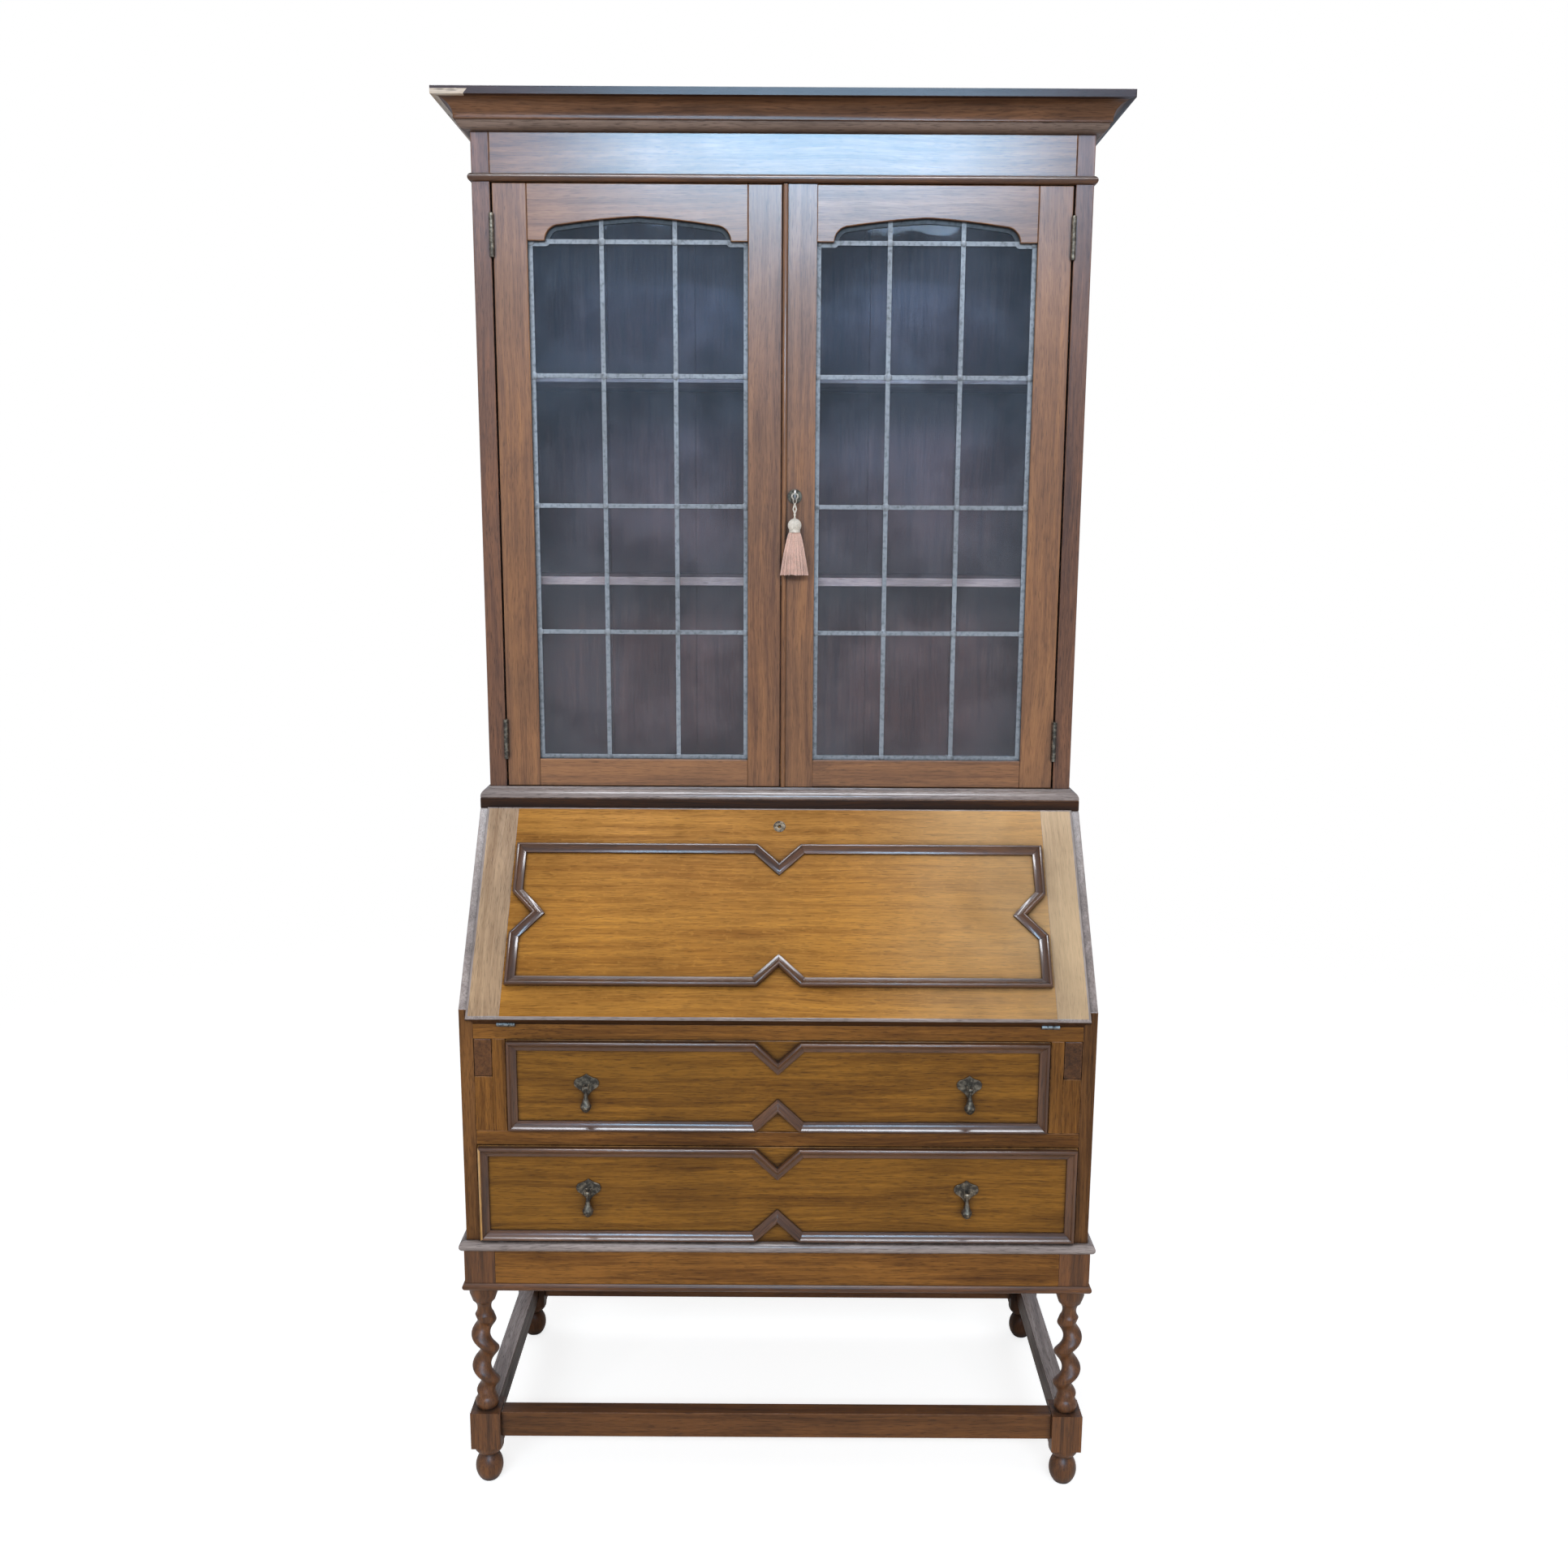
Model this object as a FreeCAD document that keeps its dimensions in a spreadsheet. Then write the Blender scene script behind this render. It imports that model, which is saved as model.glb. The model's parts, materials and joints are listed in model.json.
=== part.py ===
"""Bureau bookcase: a glazed bookcase on a fall-front bureau, on a stand with barley-twist legs.

Millimetres. X runs to the right, Y to the back and Z up; the front faces -Y. The origin lies on the
floor, under the middle of the overall box.
"""
import FreeCAD, Part
import math
import os
import re
import Sketcher

Vector = FreeCAD.Vector
doc = FreeCAD.newDocument("bureau_bookcase")

# Driving dimensions: name, size and what it is

SIZES = (
    ("stand_width", 922, "stand, over the leg blocks"),
    ("stand_depth", 448, "stand, front to back"),
    ("stand_lead", 4, "how far the stand stands before the carcase face"),
    ("stand_height", 384, "floor to the underside of the bureau"),
    ("leg_square", 45, "width of the leg blocks"),
    ("foot_flat", 13, "radius of the flat under a foot"),
    ("foot_bulb", 20.5, "radius of the bulb of a foot"),
    ("bulb_rise", 17, "height of the widest part of the bulb"),
    ("ankle_radius", 11.5, "radius of the neck above the foot"),
    ("ankle_rise", 43, "height of that neck"),
    ("low_block_base", 60, "underside of the stretcher block"),
    ("low_block_top", 119, "top of the stretcher block"),
    ("ring_radius", 17.5, "radius of the ring under the twist"),
    ("ring_tall", 19, "height of that ring"),
    ("rope_radius", 14, "radius of the twisted rope"),
    ("rope_offset", 6.5, "offset of the rope from the leg's axis"),
    ("twist_turns", 2.6, "turns of the twist"),
    ("cup_neck", 10.5, "radius of the neck over the twist"),
    ("cup_radius", 21, "radius of the cup under the top block"),
    ("cup_tall", 49, "height of neck and cup"),
    ("apron_tall", 63, "height of the aprons and top blocks"),
    ("apron_thick", 20, "thickness of the aprons"),
    ("bead_tall", 12, "bead along the apron's lower edge"),
    ("bead_reach", 4, "how far that bead stands out"),
    ("waist_reach", 10, "how far the waist moulding stands out"),
    ("stretcher_thick", 26, "thickness of the stretchers"),
    ("stretcher_tall", 40, "height of the stretchers"),
    ("stretcher_base", 76, "underside of the stretchers"),
    ("bureau_width", 915, "bureau carcase, over its sides"),
    ("stand_tail", 4, "how far the stand stands behind the carcase back"),
    ("side_thick", 20, "bureau sides"),
    ("back_thick", 10, "back panels"),
    ("bottom_thick", 16, "bureau bottom board"),
    ("lower_tall", 149, "lower drawer opening, height"),
    ("rail_thick", 22, "rail between the drawers"),
    ("upper_tall", 140, "upper drawer opening, height"),
    ("loper_bay", 26, "width of the bay of a loper, partition to side"),
    ("bed_thick", 22, "writing bed"),
    ("partition_thick", 19.5, "boards between upper drawer and lopers"),
    ("loper_tall", 56, "height of a loper"),
    ("loper_length", 330, "length of a loper"),
    ("slide_gap", 0.5, "clearance of lopers and drawers"),
    ("fall_slope", 52.5, "slope of the closed fall, degrees"),
    ("fall_body", 13, "thickness of the fall between the sides"),
    ("fall_lip", 9, "thickness of the lip over the sides' edges"),
    ("fall_width", 891, "fall, over its lip"),
    ("fall_gap", 0.4, "clearance round the fall"),
    ("desk_rise", 276, "writing bed to the top of the sides"),
    ("top_thick", 16, "bureau top board"),
    ("surbase_reach", 13, "step from the bureau in to the bookcase"),
    ("surbase_tall", 16, "height of the surbase moulding"),
    ("nest_setback", 250, "carcase face to the pigeonholes"),
    ("nest_height", 90, "writing bed to the pigeonhole shelf"),
    ("nest_board", 8, "thickness of the pigeonhole boards"),
    ("nest_count", 6, "pigeonholes in the row"),
    ("drawer_front_thick", 18, "drawer fronts"),
    ("drawer_depth", 380, "drawers, front to back"),
    ("drawer_board", 10, "drawer sides and back"),
    ("drawer_floor", 6, "drawer bottoms"),
    ("drawer_side_drop", 20, "drawer sides, below the top of the front"),
    ("moulding_width", 14, "applied mouldings, width"),
    ("moulding_tall", 9.5, "applied mouldings, height at the outer edge"),
    ("moulding_low", 3.5, "applied mouldings, height at the inner edge"),
    ("moulding_edge", 1.5, "margin from a drawer front's edge to its moulding"),
    ("chevron_half", 32, "half the mouth of a chevron"),
    ("chevron_deep", 30, "depth of a chevron"),
    ("fall_frame_width", 786, "moulding frame on the fall, width"),
    ("fall_frame_low", 50, "lower edge of the fall to its moulding frame"),
    ("fall_frame_tall", 223, "moulding frame on the fall, height"),
    ("pull_spread", 552, "distance between the two pulls of a drawer"),
    ("lower_pull_lift", 5, "pulls of the lower drawer, above its middle"),
    ("pull_stand_off", 12.5, "drawer face to the pivot of a drop"),
    ("eye_radius", 2.6, "radius of a drop's eye and its ears"),
    ("eye_wide", 4, "width of a drop's eye"),
    ("fall_lock_radius", 9, "radius of the fall's lock plate"),
    ("fall_lock_proud", 0.2, "how far that plate stands out of its seat"),
    ("pull_plate", 34, "width of a pull's backplate"),
    ("pull_plate_thick", 2, "thickness of a backplate"),
    ("drop_radius", 8, "radius of a pear drop"),
    ("drop_length", 36, "pivot to the tip of a drop"),
    ("pivot_radius", 1.2, "radius of hinge and pull pins"),
    ("pivot_gap", 0.05, "running clearance on those pins"),
    ("knuckle_radius", 3.4, "radius of the hinge knuckles"),
    ("leaf_thick", 1.1, "thickness of the hinge leaves"),
    ("leaf_wide", 20, "width of a hinge leaf"),
    ("leaf_gap", 0.4, "gap between closed leaves and round knuckles"),
    ("fall_hinge_spread", 780, "distance between the fall's hinges"),
    ("fall_hinge_long", 26, "length of a fall hinge"),
    ("door_hinge_long", 60, "length of a door hinge"),
    ("door_hinge_margin", 72, "door's end to the middle of its hinge"),
    ("book_depth", 230, "bookcase, front to back"),
    ("book_side", 26, "bookcase sides"),
    ("book_bottom", 16, "bookcase bottom board"),
    ("book_top", 18, "bookcase top board"),
    ("door_opening", 876.5, "height of the door opening"),
    ("door_gap", 1, "clearance over, under and between the doors"),
    ("door_thick", 20, "thickness of the doors"),
    ("stile_wide", 49, "width of the door stiles"),
    ("low_rail_tall", 41.5, "height of the doors' bottom rail"),
    ("top_rail_tall", 78.5, "height of the top rail at the arch's shoulder"),
    ("shoulder_wide", 25, "shoulder beside the arch"),
    ("arch_quarter", 22, "radius of the quarter round beside the arch"),
    ("arch_rise", 33.5, "rise of the arch over its shoulder"),
    ("came_wide", 6.5, "width of the lead cames"),
    ("came_thick", 5, "thickness of the lead cames"),
    ("glass_thick", 3, "thickness of the panes"),
    ("pane_columns", 3, "columns of panes in a door"),
    ("pane_rows", 4, "rows of panes under the arch"),
    ("door_bead", 8, "bead on the right door's meeting edge"),
    ("door_bead_reach", 4, "how far that bead stands out"),
    ("shelf_thick", 13, "bookcase shelves"),
    ("shelf_setback", 35, "back of the doors to the shelves"),
    ("shelf_one", 304, "bookcase bottom to the lower shelf"),
    ("shelf_two", 605, "bookcase bottom to the upper shelf"),
    ("back_board_count", 6, "boards in the bookcase's back"),
    ("frieze_tall", 67.5, "height of the frieze rail under the cornice"),
    ("frieze_bead_tall", 12, "bead along the frieze's lower edge"),
    ("frieze_bead_reach", 5, "how far that bead stands out"),
    ("cornice_tall", 49, "height of the cornice"),
    ("cornice_reach", 45, "how far the cornice stands out"),
    ("cornice_cap", 11, "height of the cornice's top fillet"),
    ("lock_rise", 437, "bottom of the doors to the key"),
    ("lock_inset", 20, "middle of the bookcase to the key"),
    ("key_radius", 2.4, "radius of the key's shank"),
    ("key_bow", 8, "radius of the key's bow"),
    ("bow_wire", 1.8, "radius of the bow's wire"),
    ("key_bit", 8, "reach of the key's bit below its axis"),
    ("key_bit_thick", 2, "thickness of the key's bit"),
    ("plate_thick", 1.2, "thickness of the door's key plate"),
    ("plate_radius", 10.5, "radius of the door's key plate"),
    ("key_stand_off", 30, "door face to the middle of the bow"),
    ("key_gap", 0.3, "clearance round the key and the bolt"),
    ("bolt_tall", 14, "height of the lock bolt"),
    ("bolt_thick", 4, "thickness of the lock bolt"),
    ("bolt_long", 34, "length of the lock bolt"),
    ("bolt_margin", 2, "meeting edge to the drawn-back bolt"),
    ("case_wall", 2, "wall of the lock case"),
    ("tassel_cord", 1.5, "radius of the tassel's doubled cord"),
    ("tassel_drop", 32, "key to the tassel's head"),
    ("tassel_head", 10, "radius of the tassel's head"),
    ("tassel_neck", 7.5, "radius of the tie under the head"),
    ("tassel_skirt", 19, "radius of the skirt's hem"),
    ("tassel_depth", 11.2, "half the depth of the skirt's hem, which hangs flat to the door"),
    ("tassel_length", 66, "length of the skirt"),
    ("tassel_stand_off", 16, "door face to the middle of the tassel"),
)

# Positions worked out from them: name and formula. Names in _y and _z are places in the frame.

LAYOUT = (
    ("face_y", "(pull_stand_off + drop_radius + stand_lead - stand_depth) / 2"),
    ("stand_y", "face_y - stand_lead"),
    ("stand_rear_y", "stand_y + stand_depth"),
    ("back_y", "stand_rear_y - stand_tail"),
    ("bureau_depth", "back_y - face_y"),
    ("panel_y", "back_y - back_thick"),
    ("book_y", "back_y - book_depth"),
    ("stand_half", "stand_width / 2"),
    ("leg_x", "stand_half - leg_square / 2"),
    ("leg_front_y", "stand_y + leg_square / 2"),
    ("leg_rear_y", "stand_rear_y - leg_square / 2"),
    ("apron_z", "stand_height - apron_tall"),
    ("twist_z", "low_block_top + ring_tall"),
    ("twist_top_z", "apron_z - cup_tall"),
    ("bureau_half", "bureau_width / 2"),
    ("side_in", "bureau_half - side_thick"),
    ("lower_z", "stand_height + bottom_thick"),
    ("rail_z", "lower_z + lower_tall"),
    ("upper_z", "rail_z + rail_thick"),
    ("bed_low_z", "upper_z + upper_tall"),
    ("bed_z", "bed_low_z + bed_thick"),
    ("cheek_z", "bed_z + fall_body / cos(fall_slope)"),
    ("desk_z", "bed_z + desk_rise"),
    ("slope_depth", "(desk_z - cheek_z) / tan(fall_slope)"),
    ("slope_y", "face_y + slope_depth"),
    ("lid_z", "desk_z + top_thick"),
    ("partition_x", "side_in - loper_bay"),
    ("upper_half", "partition_x - partition_thick"),
    ("loper_z", "bed_low_z - slide_gap - loper_tall"),
    ("fall_thick", "fall_body + fall_lip"),
    ("fall_end", "(desk_z - cheek_z) / sin(fall_slope) + fall_body * tan(fall_slope) - 2 * fall_gap"),
    ("fall_half", "fall_width / 2"),
    ("fall_in_half", "side_in - fall_gap"),
    ("nest_y", "face_y + nest_setback"),
    ("nest_z", "bed_z + nest_height"),
    ("drawer_back_y", "face_y + drawer_depth"),
    ("upper_pull_z", "upper_z + upper_tall / 2"),
    ("lower_pull_z", "lower_z + lower_tall / 2 + lower_pull_lift"),
    ("pull_x", "pull_spread / 2"),
    ("pull_y", "face_y - pull_stand_off"),
    ("book_half", "bureau_half - surbase_reach"),
    ("book_in", "book_half - book_side"),
    ("book_floor_z", "lid_z + book_bottom"),
    ("door_top_z", "book_floor_z + door_opening"),
    ("cornice_z", "door_top_z + frieze_tall"),
    ("full_z", "cornice_z + cornice_tall"),
    ("book_lid_z", "full_z - book_top"),
    ("door_back_y", "book_y + door_thick"),
    ("hinge_gap", "2 * leaf_thick + leaf_gap"),
    ("door_edge", "book_in - hinge_gap"),
    ("door_pin_x", "book_in - hinge_gap / 2"),
    ("door_pin_y", "book_y - knuckle_radius - leaf_gap"),
    ("door_z", "book_floor_z + door_gap"),
    ("door_end_z", "door_top_z - door_gap"),
    ("door_meet", "door_gap / 2"),
    ("light_near", "door_meet + stile_wide"),
    ("light_far", "door_edge - stile_wide"),
    ("light_z", "door_z + low_rail_tall"),
    ("shoulder_z", "door_end_z - top_rail_tall"),
    ("glass_y", "(book_y + door_back_y - glass_thick) / 2"),
    ("came_y", "(book_y + door_back_y - came_thick) / 2"),
    ("shelf_y", "door_back_y + shelf_setback"),
    ("lock_z", "door_z + lock_rise"),
)

home = {}
nodes = []


def fill_sheet(title, rows):
    """A sheet with a row to each size: its value or formula under its own name, and what it is."""
    sheet = doc.addObject("Spreadsheet::Sheet", title)
    for row, (alias, content, *note) in enumerate(rows, 1):
        formula = isinstance(content, str)
        sheet.set(f"A{row}", "=" + qualified(content) if formula else str(content))
        sheet.setAlias(f"A{row}", alias)
        sheet.set(f"B{row}", note[0] if note else "worked out")
        home[alias] = "" if formula else title + "."
    doc.recompute()
    for alias, *_ in rows:
        home[alias] = title + "."


def qualified(formula):
    """A formula with its sheet's name before each size."""
    return re.sub(r"[a-z_]+", lambda word: home.get(word.group(), "") + word.group(), formula)


def size(alias):
    """The present value of a size or a position."""
    return float(getattr(doc.getObject(home[alias][:-1]), alias))


def board(name, x, y, z):
    """A square-edged board between three pairs of planes, each plane a formula."""
    box = doc.addObject("Part::Box", name)
    spans = ("Length", "Width", "Height")
    for (low, high), span, axis in zip((x, y, z), spans, "xyz"):
        box.setExpression(span, qualified(f"({high}) - ({low})"))
        box.setExpression("Placement.Base." + axis, qualified(low))
    return box


def both(formula):
    """The planes that lie a distance to the left and to the right of the middle."""
    return f"-({formula})", formula


def mirrored(planes, side):
    """Two planes of the right half, or their mirror in the left half."""
    near, far = planes
    return (near, far) if side > 0 else (f"-({far})", f"-({near})")


def node(item):
    """An object that is a piece of its own, under its own name."""
    item.Label = item.Name
    nodes.append(item)
    return item


def group(name, members):
    """Pieces of one kind that share a node, each still a solid."""
    holder = doc.addObject("Part::Compound", name)
    holder.Links = members
    return node(holder)


def feature(name, shape, place=None):
    """A piece whose shape is made by Part's functions, set at its place."""
    item = doc.addObject("Part::Feature", name)
    item.Shape = shape
    if place:
        item.Placement = place
    return item


def cut(name, base, tools):
    """A piece with other shapes cut out of it."""
    waste = doc.addObject("Part::MultiFuse", name + "_waste") if len(tools) > 1 else tools[0]
    if len(tools) > 1:
        waste.Shapes = tools
    item = doc.addObject("Part::Cut", name)
    item.Base = base
    item.Tool = waste
    return item


def outline(start, runs, place):
    """A closed wire. A run is its end, or a point on its arc and its end; place sets a point in space."""
    edges = []
    here = start
    for run in (*runs, (start,)):
        points = [place(*point) for point in (here, *run)]
        if len(points) == 3:
            edges.append(Part.Arc(*points).toShape())
        elif points[0].distanceToPoint(points[1]) > 1e-6:
            edges.append(Part.LineSegment(*points).toShape())
        here = run[-1]
    return Part.Wire(edges)


def strip(one, two):
    """A straight length of moulding between the sections at its two mitred ends."""
    solid = Part.makeLoft([one, two], True, True)
    return solid if solid.Volume > 0 else solid.reversed()


def prism(corners, low, high):
    """An upright block over an outline of X and Y."""
    points = [Vector(x, y, low) for x, y in (*corners, corners[0])]
    return Part.Face(Part.makePolygon(points)).extrude(Vector(0, 0, high - low))


def mitred_run(section, half, front, back, base):
    """A moulding along the front and both sides of a case, in three lengths that meet in mitres."""
    def length(place, run, corners):
        straight = Part.Face(outline(*section, place)).extrude(run)
        return straight.common(prism(corners, base - far, base + far)).Solids

    far = 4 * max(max(point) for run in section[1] for point in run)
    tip = front - far
    lengths = length(
        lambda reach, rise: Vector(-half - far, front - reach, base + rise), Vector(2 * (half + far), 0, 0),
        [(-half, front), (half, front), (half + far, tip), (-half - far, tip)])
    for side in (-1, 1):
        wall = side * half
        brink = side * (half + far)
        lengths += length(
            lambda reach, rise: Vector(side * (half + reach), tip, base + rise), Vector(0, back - tip, 0),
            [(wall, front), (brink, tip), (brink, back), (wall, back)])
    return Part.makeCompound(lengths)


def half_round(reach, tall):
    """Section of a half-round bead, on a flat root where it stands out further than its radius."""
    root = max(0, reach - tall / 2)
    return (0, 0), [((root, 0),), ((reach, tall / 2), (root, tall)), ((0, tall),)]


def ovolo(reach, tall):
    """Section of a quarter-round moulding with a small fillet at its foot and its top."""
    fillet = tall / 6
    round_mid = reach * math.sqrt(0.5), fillet + (tall - 2 * fillet) * math.sqrt(0.5)
    return (0, 0), [
        ((reach, 0),),
        ((reach, fillet),),
        (round_mid, (fillet, tall - fillet)),
        ((fillet, tall),),
        ((0, tall),),
    ]


def frame_of_strips(corners, section):
    """A moulding round a closed outline, in one length to each side, mitred at every corner."""
    points = [Vector(x, y, 0) for x, y in corners]
    wires = []
    for before, here, after in zip(points[-1:] + points[:-1], points, points[1:] + points[:1]):
        normals = []
        for run in (here - before, after - here):
            run.normalize()
            normals.append(Vector(-run.y, run.x, 0))
        mitre = (normals[0] + normals[1]) * (1 / (1 + normals[0].dot(normals[1])))
        wires.append(outline(*section, lambda inset, rise: here + mitre * inset + Vector(0, 0, rise)))
    return Part.makeCompound([strip(one, two) for one, two in zip(wires, wires[1:] + wires[:1])])


fill_sheet("Sizes", SIZES)
fill_sheet("Layout", LAYOUT)

# Stand


def turned(start, runs):
    """A turned piece about Z from the half outline of its side."""
    wire = outline(start, runs, lambda radius, rise: Vector(radius, 0, rise))
    return Part.Face(wire).revolve(Vector(), Vector(0, 0, 1), 360)


def twist(side):
    """The rope of a barley twist: a circle that winds round the axis and comes back to it at both ends."""
    steps = round(8 * size("twist_turns"))
    low = size("twist_z")
    rise = size("twist_top_z") - low
    circles = []
    for step in range(steps + 1):
        share = step / steps
        offset = size("rope_offset") * min(1, step / 3, (steps - step) / 3)
        turn = 2 * math.pi * size("twist_turns") * share
        centre = Vector(side * offset * math.cos(turn), offset * math.sin(turn), low + rise * share)
        circles.append(Part.Wire(Part.makeCircle(size("rope_radius"), centre)))
    return Part.makeLoft(circles, True, False)


def leg_shape(side):
    """A leg about the origin: foot, stretcher block, ring, twist, cup and top block in one length."""
    half = size("leg_square") / 2
    low = size("low_block_base")
    ankle = size("ankle_rise")
    foot = turned((0, 0), [
        ((size("foot_flat"), 0),),
        ((size("foot_bulb"), size("bulb_rise")), (size("ankle_radius"), ankle)),
        ((half * 0.85, ankle + (low - ankle) * 0.3), (half, low)),
        ((0, low),),
    ])
    ring_low = size("low_block_top")
    ring_top = size("twist_z")
    ring = turned((0, ring_low), [
        ((size("rope_radius"), ring_low),),
        ((size("ring_radius"), (ring_low + ring_top) / 2), (size("rope_radius"), ring_top)),
        ((0, ring_top),),
    ])
    cup_low = size("twist_top_z")
    cup_top = size("apron_z")
    rim = cup_top - size("cup_tall") / 4
    throat = cup_low + size("cup_tall") / 2
    cup = turned((0, cup_low), [
        ((size("rope_radius"), cup_low),),
        ((size("cup_neck"), cup_low + size("cup_tall") / 6), (0.8 * size("cup_radius"), throat)),
        ((size("cup_radius"), rim),),
        ((size("cup_radius"), cup_top),),
        ((0, cup_top),),
    ])
    corner = Vector(-half, -half, 0)
    square = 2 * half
    low_block = Part.makeBox(square, square, size("low_block_top") - low, corner + Vector(0, 0, low))
    top_block = Part.makeBox(square, square, size("apron_tall"), corner + Vector(0, 0, cup_top))
    return foot.multiFuse([low_block, ring, twist(side), cup, top_block])


for side, hand in ((-1, "left"), (1, "right")):
    shape = leg_shape(side)
    for end in ("front", "rear"):
        leg = node(feature(f"leg_{end}_{hand}", shape))
        leg.setExpression("Placement.Base.x", qualified("leg_x" if side > 0 else "-leg_x"))
        leg.setExpression("Placement.Base.y", qualified(f"leg_{end}_y"))

stretcher_z = ("stretcher_base", "stretcher_base + stretcher_tall")
apron_rise = ("apron_z", "stand_height")
across = both("stand_half - leg_square")
along = ("stand_y + leg_square", "stand_rear_y - leg_square")
stretchers = []
aprons = []
for end, inward in (("front", 1), ("rear", -1)):
    axis = f"leg_{end}_y"
    middle = (f"{axis} - stretcher_thick / 2", f"{axis} + stretcher_thick / 2")
    stretchers.append(board(f"stretcher_{end}", across, middle, stretcher_z))
    face = "stand_y" if inward > 0 else "stand_rear_y - apron_thick"
    aprons.append(board(f"apron_{end}", across, (face, face + " + apron_thick"), apron_rise))
for side, hand in ((-1, "left"), (1, "right")):
    middle = mirrored(("leg_x - stretcher_thick / 2", "leg_x + stretcher_thick / 2"), side)
    stretchers.append(board(f"stretcher_{hand}", middle, along, stretcher_z))
    wall = mirrored(("stand_half - apron_thick", "stand_half"), side)
    aprons.append(board(f"apron_{hand}", wall, along, apron_rise))
group("stretchers", stretchers)
group("aprons", aprons)
bead = half_round(size("bead_reach"), size("bead_tall"))
node(feature("apron_bead", mitred_run(
    bead, size("stand_half"), size("stand_y"), size("stand_rear_y"), size("apron_z"))))
waist = half_round(size("waist_reach"), size("bottom_thick"))
node(feature("waist_moulding", mitred_run(
    waist, size("bureau_half"), size("face_y"), size("back_y"), size("stand_height"))))

# Bureau carcase


def side_board(name, x):
    """A bureau side: its outline with the sloping front edge, padded to its thickness."""
    body = doc.addObject("PartDesign::Body", name)
    sketch = body.newObject("Sketcher::SketchObject", name + "_outline")
    planes = {plane.Role: plane for plane in body.Origin.OriginFeatures}
    sketch.AttachmentSupport = (planes["YZ_Plane"], [""])
    sketch.MapMode = "FlatFace"
    corners = (
        (None, "stand_height"), ("bureau_depth", "stand_height"), ("bureau_depth", "desk_z"),
        ("slope_depth", "desk_z"), (None, "cheek_z"),
    )
    points = [Vector(size(across) if across else 0, size(up), 0) for across, up in corners]
    for start, end in zip(points, points[1:] + points[:1]):
        sketch.addGeometry(Part.LineSegment(start, end), False)
    for line, (across, up) in enumerate(corners):
        sketch.addConstraint(Sketcher.Constraint("Coincident", (line - 1) % len(corners), 2, line, 1))
        if across is None:
            sketch.addConstraint(Sketcher.Constraint("PointOnObject", line, 1, -2))
        for kind, alias in (("DistanceX", across), ("DistanceY", up)):
            if alias:
                index = sketch.addConstraint(Sketcher.Constraint(kind, -1, 1, line, 1, size(alias)))
                sketch.setExpression(f"Constraints[{index}]", qualified(alias))
    pad = body.newObject("PartDesign::Pad", name + "_pad")
    pad.Profile = sketch
    pad.setExpression("Length", qualified("side_thick"))
    body.setExpression("Placement.Base.x", qualified(x))
    body.setExpression("Placement.Base.y", qualified("face_y"))
    return node(body)


def hinge_half(long, knuckles, leaf, pinned):
    """Half a butt hinge with its pin along Z and its leaf along X, between two planes of Y."""
    clear = size("knuckle_radius") + size("leaf_gap")
    low, high = leaf
    solid = Part.makeBox(size("leaf_wide"), high - low, long, Vector(clear, low, 0))
    for start, end in knuckles:
        barrel = Part.makeCylinder(size("knuckle_radius"), end - start, Vector(0, 0, start))
        neck = Part.makeBox(clear, high - low, end - start, Vector(0, low, start))
        solid = solid.multiFuse([barrel, neck])
    if pinned:
        return solid.fuse(Part.makeCylinder(size("pivot_radius"), long)).removeSplitter()
    return solid.cut(Part.makeCylinder(size("pivot_radius") + size("pivot_gap"), long)).removeSplitter()


def hinge_pair(long, fixed_leaf, moving_leaf):
    """The two halves of a hinge: outer knuckles and pin on the fixed half, the middle one on the other."""
    third = long / 3
    gap = size("leaf_gap")
    fixed = hinge_half(long, ((0, third - gap), (2 * third + gap, long)), fixed_leaf, True)
    return fixed, hinge_half(long, ((third, 2 * third),), moving_leaf, False)


inside = both("side_in")
depth = ("face_y", "panel_y")
for side, hand in ((-1, "left"), (1, "right")):
    side_board(f"bureau_side_{hand}", "side_in" if side > 0 else "-bureau_half")
node(board("bureau_bottom", inside, depth, ("stand_height", "lower_z")))
node(board("drawer_rail", inside, depth, ("rail_z", "upper_z")))
node(board("bureau_back", inside, ("panel_y", "back_y"), ("stand_height", "desk_z")))
node(board("bureau_top", both("bureau_half"), ("slope_y", "back_y"), ("desk_z", "lid_z")))

loper_slot = ("partition_x", "side_in")
loper_y = ("face_y", "face_y + loper_length")
partitions = []
for side, hand in ((-1, "left"), (1, "right")):
    wall = mirrored(("upper_half", "partition_x"), side)
    partitions.append(board(f"loper_partition_{hand}", wall, depth, ("upper_z", "bed_low_z")))
    bearer = mirrored(loper_slot, side)
    partitions.append(board(f"loper_bearer_{hand}", bearer, depth, ("upper_z", "loper_z - slide_gap")))
    run = mirrored(("partition_x + slide_gap", "side_in - slide_gap"), side)
    node(board(f"loper_{hand}", run, loper_y, ("loper_z", "loper_z + loper_tall")))
group("loper_partitions", partitions)

nest_depth = ("nest_y", "panel_y")
nest = [board("nest_shelf", inside, nest_depth, ("nest_z", "nest_z + nest_board"))]
nest_count = int(size("nest_count"))
for wall in range(1, nest_count):
    middle = f"-side_in + {wall} * 2 * side_in / nest_count"
    planes = (middle + " - nest_board / 2", middle + " + nest_board / 2")
    nest.append(board(f"nest_divider_{wall}", planes, nest_depth, ("nest_z + nest_board", "desk_z")))
group("pigeonholes", nest)

node(feature("surbase_moulding", mitred_run(
    ovolo(size("surbase_reach"), size("surbase_tall")),
    size("book_half"), size("book_y"), size("back_y"), size("lid_z"))))

# Hinges of the fall, and the writing bed that they are let into

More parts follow.
